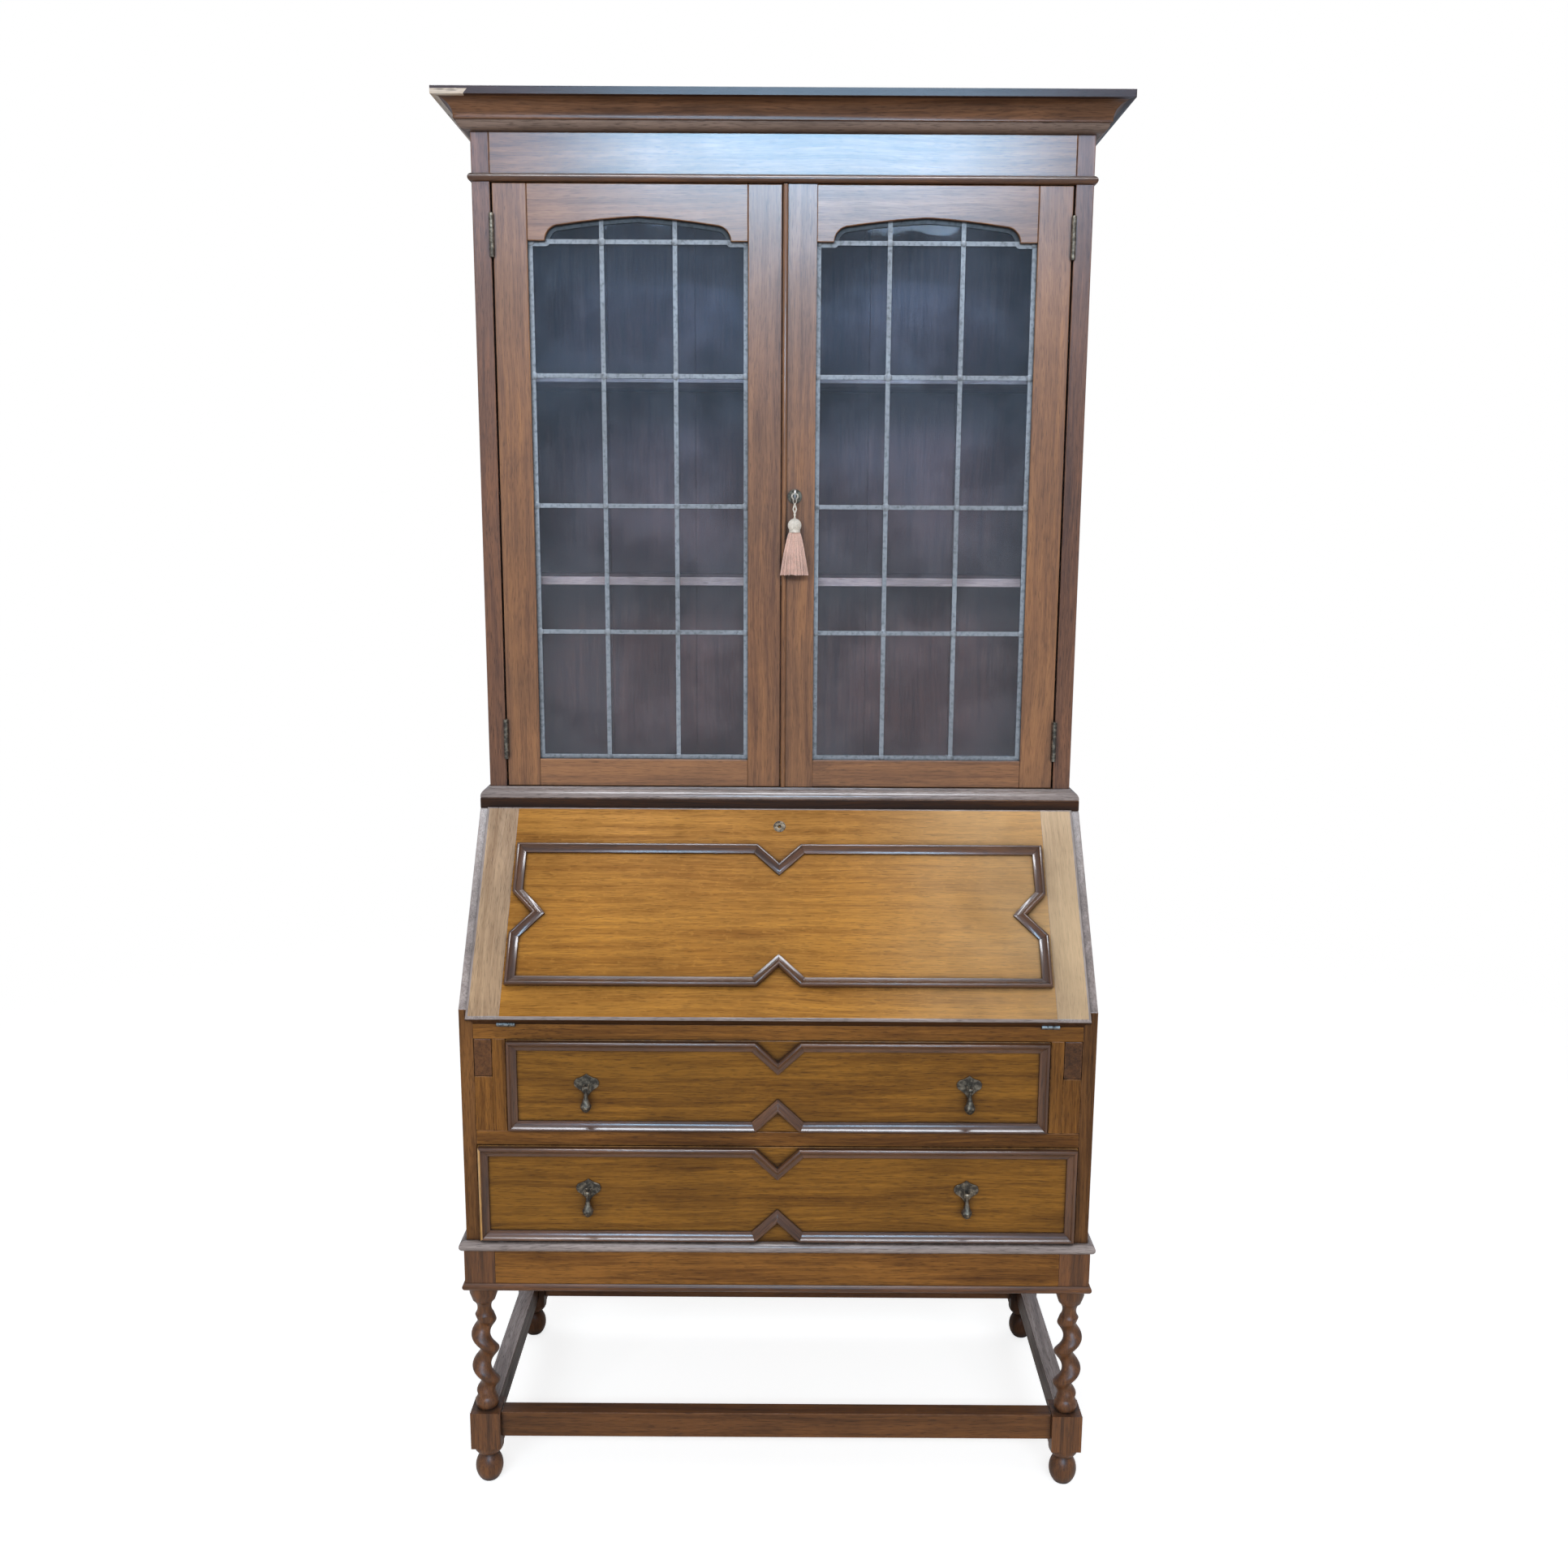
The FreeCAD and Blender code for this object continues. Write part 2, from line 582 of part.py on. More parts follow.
along_x = FreeCAD.Rotation(Vector(1, 1, 1), 120)
fall_place = FreeCAD.Placement(
    Vector(0, size("face_y"), size("bed_z")), FreeCAD.Rotation(Vector(1, 0, 0), size("fall_slope")))
hinge_long = size("fall_hinge_long")
hinge_clear = size("knuckle_radius") + size("leaf_gap")
hinge_starts = [side * size("fall_hinge_spread") / 2 - hinge_long / 2 for side in (-1, 1)]
plate_half, leaf_half = hinge_pair(hinge_long, (-size("leaf_thick"), 0), (0, size("leaf_thick")))
plates = []
leaves = []
for start in hinge_starts:
    for half, halves, corner in (
        (plate_half, plates, Vector(start, size("face_y"), size("bed_z"))),
        (leaf_half, leaves, Vector(start, 0, 0)),
    ):
        placed = half.copy()
        placed.Placement = FreeCAD.Placement(corner, along_x)
        halves.append(placed)
node(feature("fall_hinge_plates", Part.makeCompound(plates)))
node(feature("fall_hinge_leaves", Part.makeCompound(leaves), fall_place))

hollows = []
for side, hand in ((-1, "left"), (1, "right")):
    middle = f"{side} * fall_hinge_spread / 2"
    span = (middle + " - fall_hinge_long / 2", middle + " + fall_hinge_long / 2")
    wide = (span[0] + " - leaf_gap", span[1] + " + leaf_gap")
    reach = "face_y + knuckle_radius + leaf_gap"
    recess_y = ("face_y", reach + " + leaf_wide")
    hollows.append(board(f"leaf_recess_{hand}", span, recess_y, ("bed_z - leaf_thick", "bed_z")))
    notch_z = ("bed_z - knuckle_radius - leaf_gap", "bed_z")
    hollows.append(board(f"knuckle_notch_{hand}", wide, ("face_y", reach), notch_z))
slab = board("bed_slab", inside, depth, ("bed_low_z", "bed_z"))
node(cut("writing_bed", slab, hollows))

# Fall, in its own frame: X across, Y up its slope from the hinge axis, Z out of its face


def fall_shape():
    """The fall: a panel between the sides with a rounded lip over their edges, let out for its fittings."""
    low = size("fall_gap")
    tall = size("fall_end") - low
    inner = size("fall_in_half")
    outer = size("fall_half")
    panel = Part.makeBox(2 * inner, tall, size("fall_body"), Vector(-inner, low, 0))
    lip = Part.makeBox(2 * outer, tall, size("fall_lip"), Vector(-outer, low, size("fall_body")))
    slab = panel.fuse(lip).removeSplitter()
    top = size("fall_thick")
    rim = [edge for edge in slab.Edges if all(abs(corner.Z - top) < 1e-6 for corner in edge.Vertexes)]
    slab = slab.makeFillet(size("fall_lip") * 0.6, rim)
    gap = size("leaf_gap")
    for start in hinge_starts:
        tall = hinge_clear + size("leaf_wide")
        recess = Part.makeBox(hinge_long, tall, size("leaf_thick"), Vector(start, 0, 0))
        notch = Part.makeBox(hinge_long + 2 * gap, hinge_clear, hinge_clear, Vector(start - gap, 0, 0))
        slab = slab.cut(recess.fuse(notch))
    seat = Part.makeCylinder(size("fall_lock_radius"), lock_sunk, Vector(0, lock_high, top - lock_sunk))
    return slab.cut(seat)


def moulding_section():
    """Section of the applied mouldings: a rounded outer nose, and a hollow that falls to the inner edge."""
    wide = size("moulding_width")
    tall = size("moulding_tall")
    low = size("moulding_low")
    return (0, 0), [
        ((0, 0.7 * tall),),
        ((0.09 * wide, 0.92 * tall), (0.28 * wide, tall)),
        ((0.58 * wide, low + 0.3 * (tall - low)), (0.86 * wide, low)),
        ((wide, low),),
        ((wide, 0),),
    ]


def chevron_frame(half, low, high, side_chevrons):
    """An applied moulding with a chevron in the middle of its long sides, and its short ones if asked."""
    mouth = size("chevron_half")
    deep = size("chevron_deep")
    middle = (low + high) / 2
    right = [(half, middle - mouth), (half - deep, middle), (half, middle + mouth)] if side_chevrons else []
    left = [(-x, y) for x, y in reversed(right)]
    corners = [(-half, low), (-mouth, low), (0, low + deep), (mouth, low), (half, low), *right]
    corners += [(half, high), (mouth, high), (0, high - deep), (-mouth, high), (-half, high), *left]
    return frame_of_strips(corners, moulding_section())


frame_low = size("fall_frame_low")
frame_high = frame_low + size("fall_frame_tall")
lock_high = (frame_high + size("fall_end")) / 2
lock_sunk = size("pull_plate_thick") - size("fall_lock_proud")
node(feature("fall_panel", fall_shape(), fall_place))
on_fall = fall_place.multiply(FreeCAD.Placement(Vector(0, 0, size("fall_thick")), FreeCAD.Rotation()))
fall_frame = chevron_frame(size("fall_frame_width") / 2, frame_low, frame_high, True)
node(feature("fall_mouldings", fall_frame, on_fall))
lock_seat = Vector(0, lock_high, -lock_sunk)
lock_disc = Part.makeCylinder(size("fall_lock_radius"), size("pull_plate_thick"), lock_seat)
keyway = Part.makeCylinder(size("key_radius"), size("pull_plate_thick"), lock_seat)
node(feature("fall_lock_plate", lock_disc.cut(keyway), on_fall))

# Drawers

FACE_UP = FreeCAD.Rotation(Vector(1, 0, 0), 90)


def plate_shape():
    """A pull's backplate in the plane of the drawer face, with two ears and the pin of its drop."""
    half = size("pull_plate") / 2
    thick = size("pull_plate_thick")
    wire = outline((0, -1.1 * half), [
        ((0.35 * half, -0.55 * half), (0.8 * half, -0.2 * half)),
        ((1.05 * half, 0.25 * half), (0.75 * half, 0.65 * half)),
        ((0.45 * half, 0.75 * half), (0, 1.05 * half)),
        ((-0.45 * half, 0.75 * half), (-0.75 * half, 0.65 * half)),
        ((-1.05 * half, 0.25 * half), (-0.8 * half, -0.2 * half)),
        ((-0.35 * half, -0.55 * half), (0, -1.1 * half)),
    ], lambda x, y: Vector(x, y, 0))
    solid = Part.Face(wire).extrude(Vector(0, 0, thick))
    ear = size("eye_radius")
    reach = size("pull_stand_off") + ear - thick
    inner = size("eye_wide") / 2 + size("leaf_gap")
    for x in (inner, -inner - thick):
        solid = solid.fuse(Part.makeBox(thick, 2 * ear, reach, Vector(x, -ear, thick)))
    axle = Part.makeCylinder(
        size("pivot_radius"), 2 * inner, Vector(-inner, 0, size("pull_stand_off")), Vector(1, 0, 0))
    return solid.fuse(axle)


def drop_shape():
    """A pear drop that hangs from the origin: its eye on the pin, a slim neck and the pear."""
    eye = size("eye_radius")
    wide = size("eye_wide")
    length = size("drop_length")
    widest = 0.72 * length
    belly = size("drop_radius")
    pear = turned((0, -eye / 2), [
        ((wide / 2, -eye / 2),),
        ((wide / 2, -eye),),
        ((0.42 * belly, -0.4 * length), (belly, -widest)),
        ((0.72 * belly, -0.9 * length), (0.2 * belly, -length),),
        ((0, -length),),
    ])
    ring = Part.makeCylinder(eye, wide, Vector(-wide / 2, 0, 0), Vector(1, 0, 0))
    bore = Part.makeCylinder(
        size("pivot_radius") + size("pivot_gap"), wide, Vector(-wide / 2, 0, 0), Vector(1, 0, 0))
    return ring.fuse(pear).cut(bore)


def drawer(level, half, low, tall):
    """A drawer: its front, the box behind it, its applied moulding and its two pulls."""
    outer = f"{half} - slide_gap"
    base = f"{low} + slide_gap"
    top = f"{low} + {tall} - 2 * slide_gap"
    front_back = "face_y + drawer_front_thick"
    node(board(f"{level}_drawer_front", both(outer), ("face_y", front_back), (base, top)))
    boards = []
    side_z = (base, f"{top} - drawer_side_drop")
    for side, hand in ((-1, "left"), (1, "right")):
        wall = mirrored((f"{outer} - drawer_board", outer), side)
        boards.append(board(f"{level}_drawer_{hand}", wall, (front_back, "drawer_back_y"), side_z))
    within = both(f"{outer} - drawer_board")
    back = "drawer_back_y - drawer_board"
    boards.append(board(f"{level}_drawer_back", within, (back, "drawer_back_y"), side_z))
    floor_z = (base, f"{base} + drawer_floor")
    boards.append(board(f"{level}_drawer_floor", within, (front_back, back), floor_z))
    group(f"{level}_drawer_box", boards)
    edge = size("slide_gap") + size("moulding_edge")
    face = FreeCAD.Placement(Vector(0, size("face_y"), size(low)), FACE_UP)
    frame = chevron_frame(size(half) - edge, edge, size(tall) - edge - size("slide_gap"), False)
    node(feature(f"{level}_drawer_mouldings", frame, face))
    plates = []
    for side, hand in ((-1, "left"), (1, "right")):
        x = side * size("pull_x")
        plate = plate_shape()
        plate.Placement = FreeCAD.Placement(Vector(x, size("face_y"), size(f"{level}_pull_z")), FACE_UP)
        plates.append(plate)
        drop = node(feature(f"{level}_pull_drop_{hand}", drop_shape()))
        drop.setExpression("Placement.Base.x", qualified("pull_x" if side > 0 else "-pull_x"))
        drop.setExpression("Placement.Base.y", qualified("pull_y"))
        drop.setExpression("Placement.Base.z", qualified(f"{level}_pull_z"))
    node(feature(f"{level}_pull_plates", Part.makeCompound(plates)))


drawer("upper", "upper_half", "upper_z", "upper_tall")
drawer("lower", "side_in", "lower_z", "lower_tall")

# Bookcase

inside = both("book_in")
case_z = ("lid_z", "book_lid_z")
for side, hand in ((-1, "left"), (1, "right")):
    wall = mirrored(("book_in", "book_half"), side)
    node(board(f"bookcase_side_{hand}", wall, ("book_y", "back_y"), case_z))
node(board("bookcase_bottom", inside, ("book_y", "panel_y"), ("lid_z", "book_floor_z")))
node(board("bookcase_top", both("book_half"), ("book_y", "back_y"), ("book_lid_z", "full_z")))
node(board("frieze_rail", inside, ("book_y", "door_back_y"), ("door_top_z", "book_lid_z")))
for level, rise in (("lower", "shelf_one"), ("upper", "shelf_two")):
    shelf_z = (f"book_floor_z + {rise}", f"book_floor_z + {rise} + shelf_thick")
    node(board(f"bookcase_shelf_{level}", inside, ("shelf_y", "panel_y"), shelf_z))
boards = []
for index in range(int(size("back_board_count"))):
    start = f"-book_in + {index} * 2 * book_in / back_board_count"
    planes = (start, start + " + 2 * book_in / back_board_count")
    boards.append(board(f"back_board_{index}", planes, ("panel_y", "back_y"), case_z))
group("bookcase_back_boards", boards)


def cornice_section():
    """Section of the cornice: an ovolo, a fillet, a wide cove and the top fillet."""
    reach = size("cornice_reach")
    tall = size("cornice_tall")
    cap = size("cornice_cap")
    foot = reach / 11
    step = foot / 1.4
    round_out = 3 * foot
    cove_x = foot + round_out + step
    cove_z = round_out + step
    nose_x = reach - foot
    nose_z = tall - cap
    bend = math.sqrt(0.5)
    return (0, 0), [
        ((foot, 0),),
        ((foot + round_out * bend, round_out * (1 - bend)), (foot + round_out, round_out)),
        ((cove_x, round_out),),
        ((cove_x, cove_z),),
        ((nose_x - (nose_x - cove_x) * bend, cove_z + (nose_z - cove_z) * bend), (nose_x, nose_z)),
        ((reach, nose_z),),
        ((reach, tall),),
        ((0, tall),),
    ]


round_case = size("book_half"), size("book_y"), size("back_y")
frieze_bead = half_round(size("frieze_bead_reach"), size("frieze_bead_tall"))
node(feature("frieze_bead", mitred_run(frieze_bead, *round_case, size("door_top_z"))))
node(feature("cornice", mitred_run(cornice_section(), *round_case, size("cornice_z"))))

# Doors


def arch_runs(near, far):
    """The head of a glazed light: shoulder, quarter round, low pointed arch, and back down the same way."""
    base = size("shoulder_z")
    quarter = size("arch_quarter")
    spring = near + size("shoulder_wide")
    flank = spring + quarter
    middle = (near + far) / 2
    crown = base + size("arch_rise")
    bend = math.sqrt(0.5)
    lift = base + quarter + 0.62 * (size("arch_rise") - quarter)
    half_way = (flank + middle) / 2
    return [
        ((near, base),),
        ((spring, base),),
        ((flank - quarter * bend, base + quarter * bend), (flank, base + quarter)),
        ((half_way, lift), (middle, crown)),
        ((near + far - half_way, lift), (near + far - flank, base + quarter)),
        ((near + far - flank + quarter * bend, base + quarter * bend), (near + far - spring, base)),
        ((far, base),),
    ]


def leaded_light(side):
    """The lattice of lead cames that fills a door's light, and the panes between them."""
    near = size("light_near")
    far = size("light_far")
    low = size("light_z")
    came = size("came_wide")
    top = size("shoulder_z")
    crown = top + size("arch_rise")
    edge = outline((near, low), [*arch_runs(near, far), ((far, low),)], lambda x, z: Vector(side * x, 0, z))
    whole = Part.Face(edge)
    within = whole.makeOffset2D(-came)
    deep = size("came_thick")
    columns = int(size("pane_columns"))
    rows = int(size("pane_rows"))
    bars = []
    for column in range(1, columns):
        x = side * (near + (far - near) * column / columns)
        bars.append(Part.makeBox(came, deep, crown - low, Vector(x - came / 2, 0, low)))
    first = low + came
    for row in range(1, rows + 1):
        z = first + (top - first) * row / rows
        start = near if side > 0 else -far
        bars.append(Part.makeBox(far - near, deep, came, Vector(start, 0, z - came / 2)))
    lattice = bars[0].multiFuse(bars[1:])
    holes = within.extrude(Vector(0, deep, 0)).cut(lattice)
    lead = whole.extrude(Vector(0, deep, 0)).cut(holes)
    panes = within.extrude(Vector(0, size("glass_thick"), 0)).cut(lattice)
    return lead, panes


def top_rail(name, side):
    """The arched top rail of a door."""
    near = size("light_near")
    far = size("light_far")
    top = size("door_end_z")
    first, *rest = arch_runs(near, far)
    edge = outline(first[0], [*rest, ((far, top),), ((near, top),)], lambda x, z: Vector(side * x, 0, z))
    rail = feature(name, Part.Face(edge).extrude(Vector(0, size("door_thick"), 0)))
    rail.setExpression("Placement.Base.y", qualified("book_y"))
    return rail


def across_y(name, radius, start, end, x, z):
    """A cylinder along Y between two planes, about a point of X and Z."""
    rod = doc.addObject("Part::Cylinder", name)
    rod.Placement = FreeCAD.Placement(Vector(), FreeCAD.Rotation(Vector(1, 0, 0), -90))
    rod.setExpression("Radius", qualified(radius))
    rod.setExpression("Height", qualified(f"({end}) - ({start})"))
    for axis, place in zip("xyz", (x, start, z)):
        rod.setExpression("Placement.Base." + axis, qualified(place))
    return rod


LOCK = ("lock_inset", "lock_z")
bit_half = "key_bit_thick / 2"
keyway_y = ("book_y - plate_thick", "door_back_y + case_wall")
keyhole = across_y("keyhole", "key_radius + key_gap", *keyway_y, *LOCK)
key_slot = board(
    "key_slot", (f"lock_inset - {bit_half} - key_gap", f"lock_inset + {bit_half} + key_gap"),
    keyway_y, ("lock_z - key_bit - key_gap", "lock_z"))
keyway = doc.addObject("Part::MultiFuse", "keyway")
keyway.Shapes = [keyhole, key_slot]

hinge_long = size("door_hinge_long")
outer_leaf = (-size("hinge_gap") / 2, -size("leaf_gap") / 2)
inner_leaf = (size("leaf_gap") / 2, size("hinge_gap") / 2)
back_to_y = FreeCAD.Rotation(Vector(0, 0, 1), 90)
door_plates = []
door_y = ("book_y", "door_back_y")
light = ("light_near", "light_far")
for side, hand in ((-1, "left"), (1, "right")):
    door = f"door_{hand}"
    full = ("door_z", "door_end_z")
    meeting = board(f"{door}_meeting_stile", mirrored(("door_meet", "light_near"), side), door_y, full)
    members = [
        cut(f"{door}_lock_stile", meeting, [keyway]) if side > 0 else meeting,
        board(f"{door}_hinge_stile", mirrored(("light_far", "door_edge"), side), door_y, full),
        board(f"{door}_low_rail", mirrored(light, side), door_y, ("door_z", "light_z")),
        top_rail(f"{door}_top_rail", side),
    ]
    if side > 0:
        section = half_round(size("door_bead_reach"), size("door_bead"))
        edge = outline(*section, lambda reach, along: Vector(along, -reach, 0))
        tall = size("door_end_z") - size("door_z")
        bead = feature("meeting_bead", Part.Face(edge).extrude(Vector(0, 0, tall)))
        for axis, place in zip("xyz", ("door_meet", "book_y", "door_z")):
            bead.setExpression("Placement.Base." + axis, qualified(place))
        members.append(bead)
    group(f"{door}_frame", members)
    lead, panes = leaded_light(side)
    for name, shape, plane in ((f"{door}_leadwork", lead, "came_y"), (f"{door}_glass", panes, "glass_y")):
        fill = node(feature(name, shape))
        fill.setExpression("Placement.Base.y", qualified(plane))
    leaf_pair = (outer_leaf, inner_leaf) if side > 0 else (inner_leaf, outer_leaf)
    fixed, moving = hinge_pair(hinge_long, *leaf_pair)
    leaves = []
    margin = size("door_hinge_margin")
    for middle in (size("door_z") + margin, size("door_end_z") - margin):
        corner = Vector(side * size("door_pin_x"), size("door_pin_y"), middle - hinge_long / 2)
        for half, halves in ((fixed, door_plates), (moving, leaves)):
            placed = half.copy()
            placed.Placement = FreeCAD.Placement(corner, back_to_y)
            halves.append(placed)
    node(feature(f"{door}_hinge_leaves", Part.makeCompound(leaves)))
node(feature("door_hinge_plates", Part.makeCompound(door_plates)))

# Lock, key and tassel of the right door

case_x = ("door_meet + bolt_margin", "door_meet + bolt_margin + bolt_long + 2 * case_wall")
chamber_y = ("door_back_y + case_wall", "door_back_y + case_wall + bolt_thick + 2 * key_gap")
bolt_z = "lock_z + key_radius + key_gap"
chamber_z = ("lock_z - key_bit - key_gap", f"{bolt_z} + bolt_tall + key_gap")
shell = board("lock_shell", case_x, ("door_back_y", chamber_y[1] + " + case_wall"),
              (chamber_z[0] + " - case_wall", chamber_z[1] + " + case_wall"))
chamber = board("lock_chamber", (case_x[0], case_x[1] + " - case_wall"), chamber_y, chamber_z)
case = cut("lock_case", shell, [chamber, keyway])
plate = across_y("lock_plate", "plate_radius", "book_y - plate_thick", "book_y", *LOCK)
group("door_lock", [case, cut("lock_escutcheon", plate, [keyway])])
inner_y = (chamber_y[0] + " + key_gap", chamber_y[1] + " - key_gap")
bolt_x = (case_x[0], case_x[0] + " + bolt_long")
node(board("lock_bolt", bolt_x, inner_y, (bolt_z, f"{bolt_z} + bolt_tall")))

bow = doc.addObject("Part::Torus", "key_bow_ring")
bow.Placement = FreeCAD.Placement(Vector(), FreeCAD.Rotation(Vector(0, 1, 0), 90))
bow.setExpression("Radius1", qualified("key_bow"))
bow.setExpression("Radius2", qualified("bow_wire"))
for axis, place in zip("xyz", ("lock_inset", "book_y - key_stand_off", "lock_z")):
    bow.setExpression("Placement.Base." + axis, qualified(place))
shank = across_y("key_shank", "key_radius", "book_y - key_stand_off + key_bow", inner_y[1], *LOCK)
bit_x = (f"lock_inset - {bit_half}", f"lock_inset + {bit_half}")
bit = board("key_blade", bit_x, inner_y, ("lock_z - key_bit", "lock_z"))
key = doc.addObject("Part::MultiFuse", "door_key")
key.Shapes = [bow, shank, bit]
node(key)


def tassel_shape():
    """A tassel under the key: a cord ring round the shank, its head, and the skirt against the door."""
    cord = size("tassel_cord")
    ring_radius = size("key_radius") + size("key_gap") + cord
    ring = Part.makeTorus(ring_radius, cord, Vector(), Vector(0, 1, 0))
    head_top = -size("tassel_drop")
    head = size("tassel_head")
    tie = head_top - 1.7 * head
    neck = size("tassel_neck")
    stem = turned((0, -ring_radius), [
        ((cord, -ring_radius),),
        ((cord, head_top),),
        ((head, head_top - head), (neck, tie)),
        ((0, tie),),
    ])
    hem = tie - size("tassel_length")
    wide = size("tassel_skirt")
    deep = size("tassel_depth")
    ovals = []
    for share, swell in ((0, 0), (0.35, 0.5), (1, 1)):
        centre = Vector(0, 0, tie + (hem - tie) * share)
        oval = Part.Ellipse(centre, neck + 0.5 + (wide - neck - 0.5) * swell, neck + (deep - neck) * swell)
        ovals.append(Part.Wire(oval.toShape()))
    return ring.multiFuse([stem, Part.makeLoft(ovals, True, False)])


tassel = node(feature("tassel", tassel_shape()))
for axis, place in zip("xyz", ("lock_inset", "book_y - tassel_stand_off", "lock_z")):
    tassel.setExpression("Placement.Base." + axis, qualified(place))

# Write the pieces

doc.recompute()
for item in doc.Objects:
    failed = [state for state in item.State if state in ("Invalid", "Error")]
    if failed:
        raise RuntimeError(f"{item.Name} failed: {failed}")
for item in nodes:
    if item.Shape.isNull() or not item.Shape.isValid() or not item.Shape.Solids:
        raise RuntimeError(f"{item.Label} has no sound solid")
os.makedirs("parts", exist_ok=True)
for item in nodes:
    item.Shape.exportStep(f"parts/{item.Label}.step")
print(len(nodes), "pieces")
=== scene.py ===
"""Looks of the bureau bookcase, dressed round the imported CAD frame.

Metres, in the CAD frame: X to the right, Y to the back, Z up, and the front faces -Y.
"""
import json
import math
import random

import bmesh
import bpy
from mathutils import Matrix, Vector

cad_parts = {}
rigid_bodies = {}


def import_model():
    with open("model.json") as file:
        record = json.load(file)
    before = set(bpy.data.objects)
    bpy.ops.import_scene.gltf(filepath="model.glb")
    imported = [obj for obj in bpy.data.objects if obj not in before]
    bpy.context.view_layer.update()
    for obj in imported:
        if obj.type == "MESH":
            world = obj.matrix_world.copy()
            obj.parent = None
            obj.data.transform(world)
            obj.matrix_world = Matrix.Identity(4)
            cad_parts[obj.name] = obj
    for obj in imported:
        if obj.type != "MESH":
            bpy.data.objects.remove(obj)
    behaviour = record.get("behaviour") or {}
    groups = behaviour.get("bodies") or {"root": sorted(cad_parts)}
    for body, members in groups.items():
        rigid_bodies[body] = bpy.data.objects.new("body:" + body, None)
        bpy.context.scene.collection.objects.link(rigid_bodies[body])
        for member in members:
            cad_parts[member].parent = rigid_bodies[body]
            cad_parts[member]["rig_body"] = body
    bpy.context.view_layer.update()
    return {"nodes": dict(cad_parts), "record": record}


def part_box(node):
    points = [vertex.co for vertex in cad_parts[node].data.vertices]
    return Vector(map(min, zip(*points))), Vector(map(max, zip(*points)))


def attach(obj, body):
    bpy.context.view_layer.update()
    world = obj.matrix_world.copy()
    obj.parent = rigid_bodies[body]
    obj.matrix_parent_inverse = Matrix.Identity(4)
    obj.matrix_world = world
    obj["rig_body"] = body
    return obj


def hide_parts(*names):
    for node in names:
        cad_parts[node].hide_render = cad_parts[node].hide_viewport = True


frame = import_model()

bl_info = {
    "name": "Bureau Bookcase",
    "version": (1, 0, 0),
    "blender": (4, 5, 0),
    "location": "View3D > Sidebar > Bureau",
    "description": "Dresses a glazed bureau bookcase with oak, lead, brass and a tassel",
    "category": "Object",
}

# The material slot and the body of each CAD node
SLOT_OF = {row["node"]: row["material_slot"] for row in frame["record"]["subparts"]}
BODY_OF = {name: node["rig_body"] for name, node in frame["nodes"].items()}

# Edges sharper than this are rounded, faces flatter than this are joined
SHARP = math.radians(32)
FLAT = math.radians(0.4)
# Points nearer than this are one point, and this near to a cut they lie on it
MERGE = 1e-5
CUT = 1e-7
# Attributes that carry the grain, the tone and the worn edges to the finishes
GRAIN = "grain_place"
TONE = "board_tone"
EDGE = "edge_wear"
# Kinds of socket in the node groups
SOCKETS = {
    "c": "NodeSocketColor", "f": "NodeSocketFloat", "g": "NodeSocketGeometry", "i": "NodeSocketInt",
    "m": "NodeSocketMaterial",
}

# Shader nodes


def feed(tree, node, inputs):
    """Gives a node its inputs, each a value or the socket that feeds it."""
    for key, value in inputs.items():
        if isinstance(value, bpy.types.NodeSocket):
            tree.links.new(value, node.inputs[key])
        else:
            node.inputs[key].default_value = value


def step(tree, kind, inputs=None, **settings):
    """The outputs of a new node of a tree, with its settings and its inputs."""
    made = tree.nodes.new(kind)
    for setting, value in settings.items():
        setattr(made, setting, value)
    feed(tree, made, inputs or {})
    return made.outputs


def placed(tree, group, inputs):
    """The outputs of a group's node in a material, with its own values."""
    return step(tree, "ShaderNodeGroup", inputs, node_tree=bpy.data.node_groups[group])


def blend_colour(tree, share, one, two, how="MIX"):
    """The socket of one colour laid over another by a share."""
    mixed = step(tree, "ShaderNodeMix", {0: share, 6: one, 7: two}, data_type="RGBA", blend_type=how)
    return mixed[2]


def sums(tree, how, one, two):
    """The socket of a sum, product or other figure of two values."""
    return step(tree, "ShaderNodeMath", {0: one, 1: two}, operation=how)[0]


def times(tree, one, two):
    """The socket of a product."""
    return sums(tree, "MULTIPLY", one, two)


def ramped(tree, value, low, high, start=0.0, end=1.0):
    """The socket of a value taken from one range to another, smoothly and no further."""
    spread = {"Value": value, "From Min": low, "From Max": high, "To Min": start, "To Max": end}
    return step(tree, "ShaderNodeMapRange", spread, interpolation_type="SMOOTHSTEP")[0]


def mottle(tree, place, scale, detail=2.0, rough=0.55):
    """The socket of a noise of so many grains to the metre."""
    spread = {"Vector": place, "Scale": scale, "Detail": detail, "Roughness": rough}
    return step(tree, "ShaderNodeTexNoise", spread)[0]


def bumped(tree, height, strength, depth):
    """The socket of a normal that follows a height."""
    return step(tree, "ShaderNodeBump", {"Height": height, "Strength": strength, "Distance": depth})[0]


def own_place(tree):
    """The socket of the place in the CAD frame."""
    return step(tree, "ShaderNodeTexCoord")["Object"]


def drawn_out(tree, place, along):
    """The socket of a place with its first axis shortened, so that a noise runs out along it."""
    return step(tree, "ShaderNodeVectorMath", {0: place, 1: (along, 1, 1)}, operation="MULTIPLY")[0]


def empty_group(title, inputs, outputs, kind="ShaderNodeTree"):
    """An empty node group with its sockets: the tree, its inputs and its output node."""
    tree = bpy.data.node_groups.new(title, kind)
    for names, way in ((inputs, "INPUT"), (outputs, "OUTPUT")):
        for name, socket in names:
            tree.interface.new_socket(name, in_out=way, socket_type=SOCKETS[socket])
    return tree, tree.nodes.new("NodeGroupInput").outputs, tree.nodes.new("NodeGroupOutput")


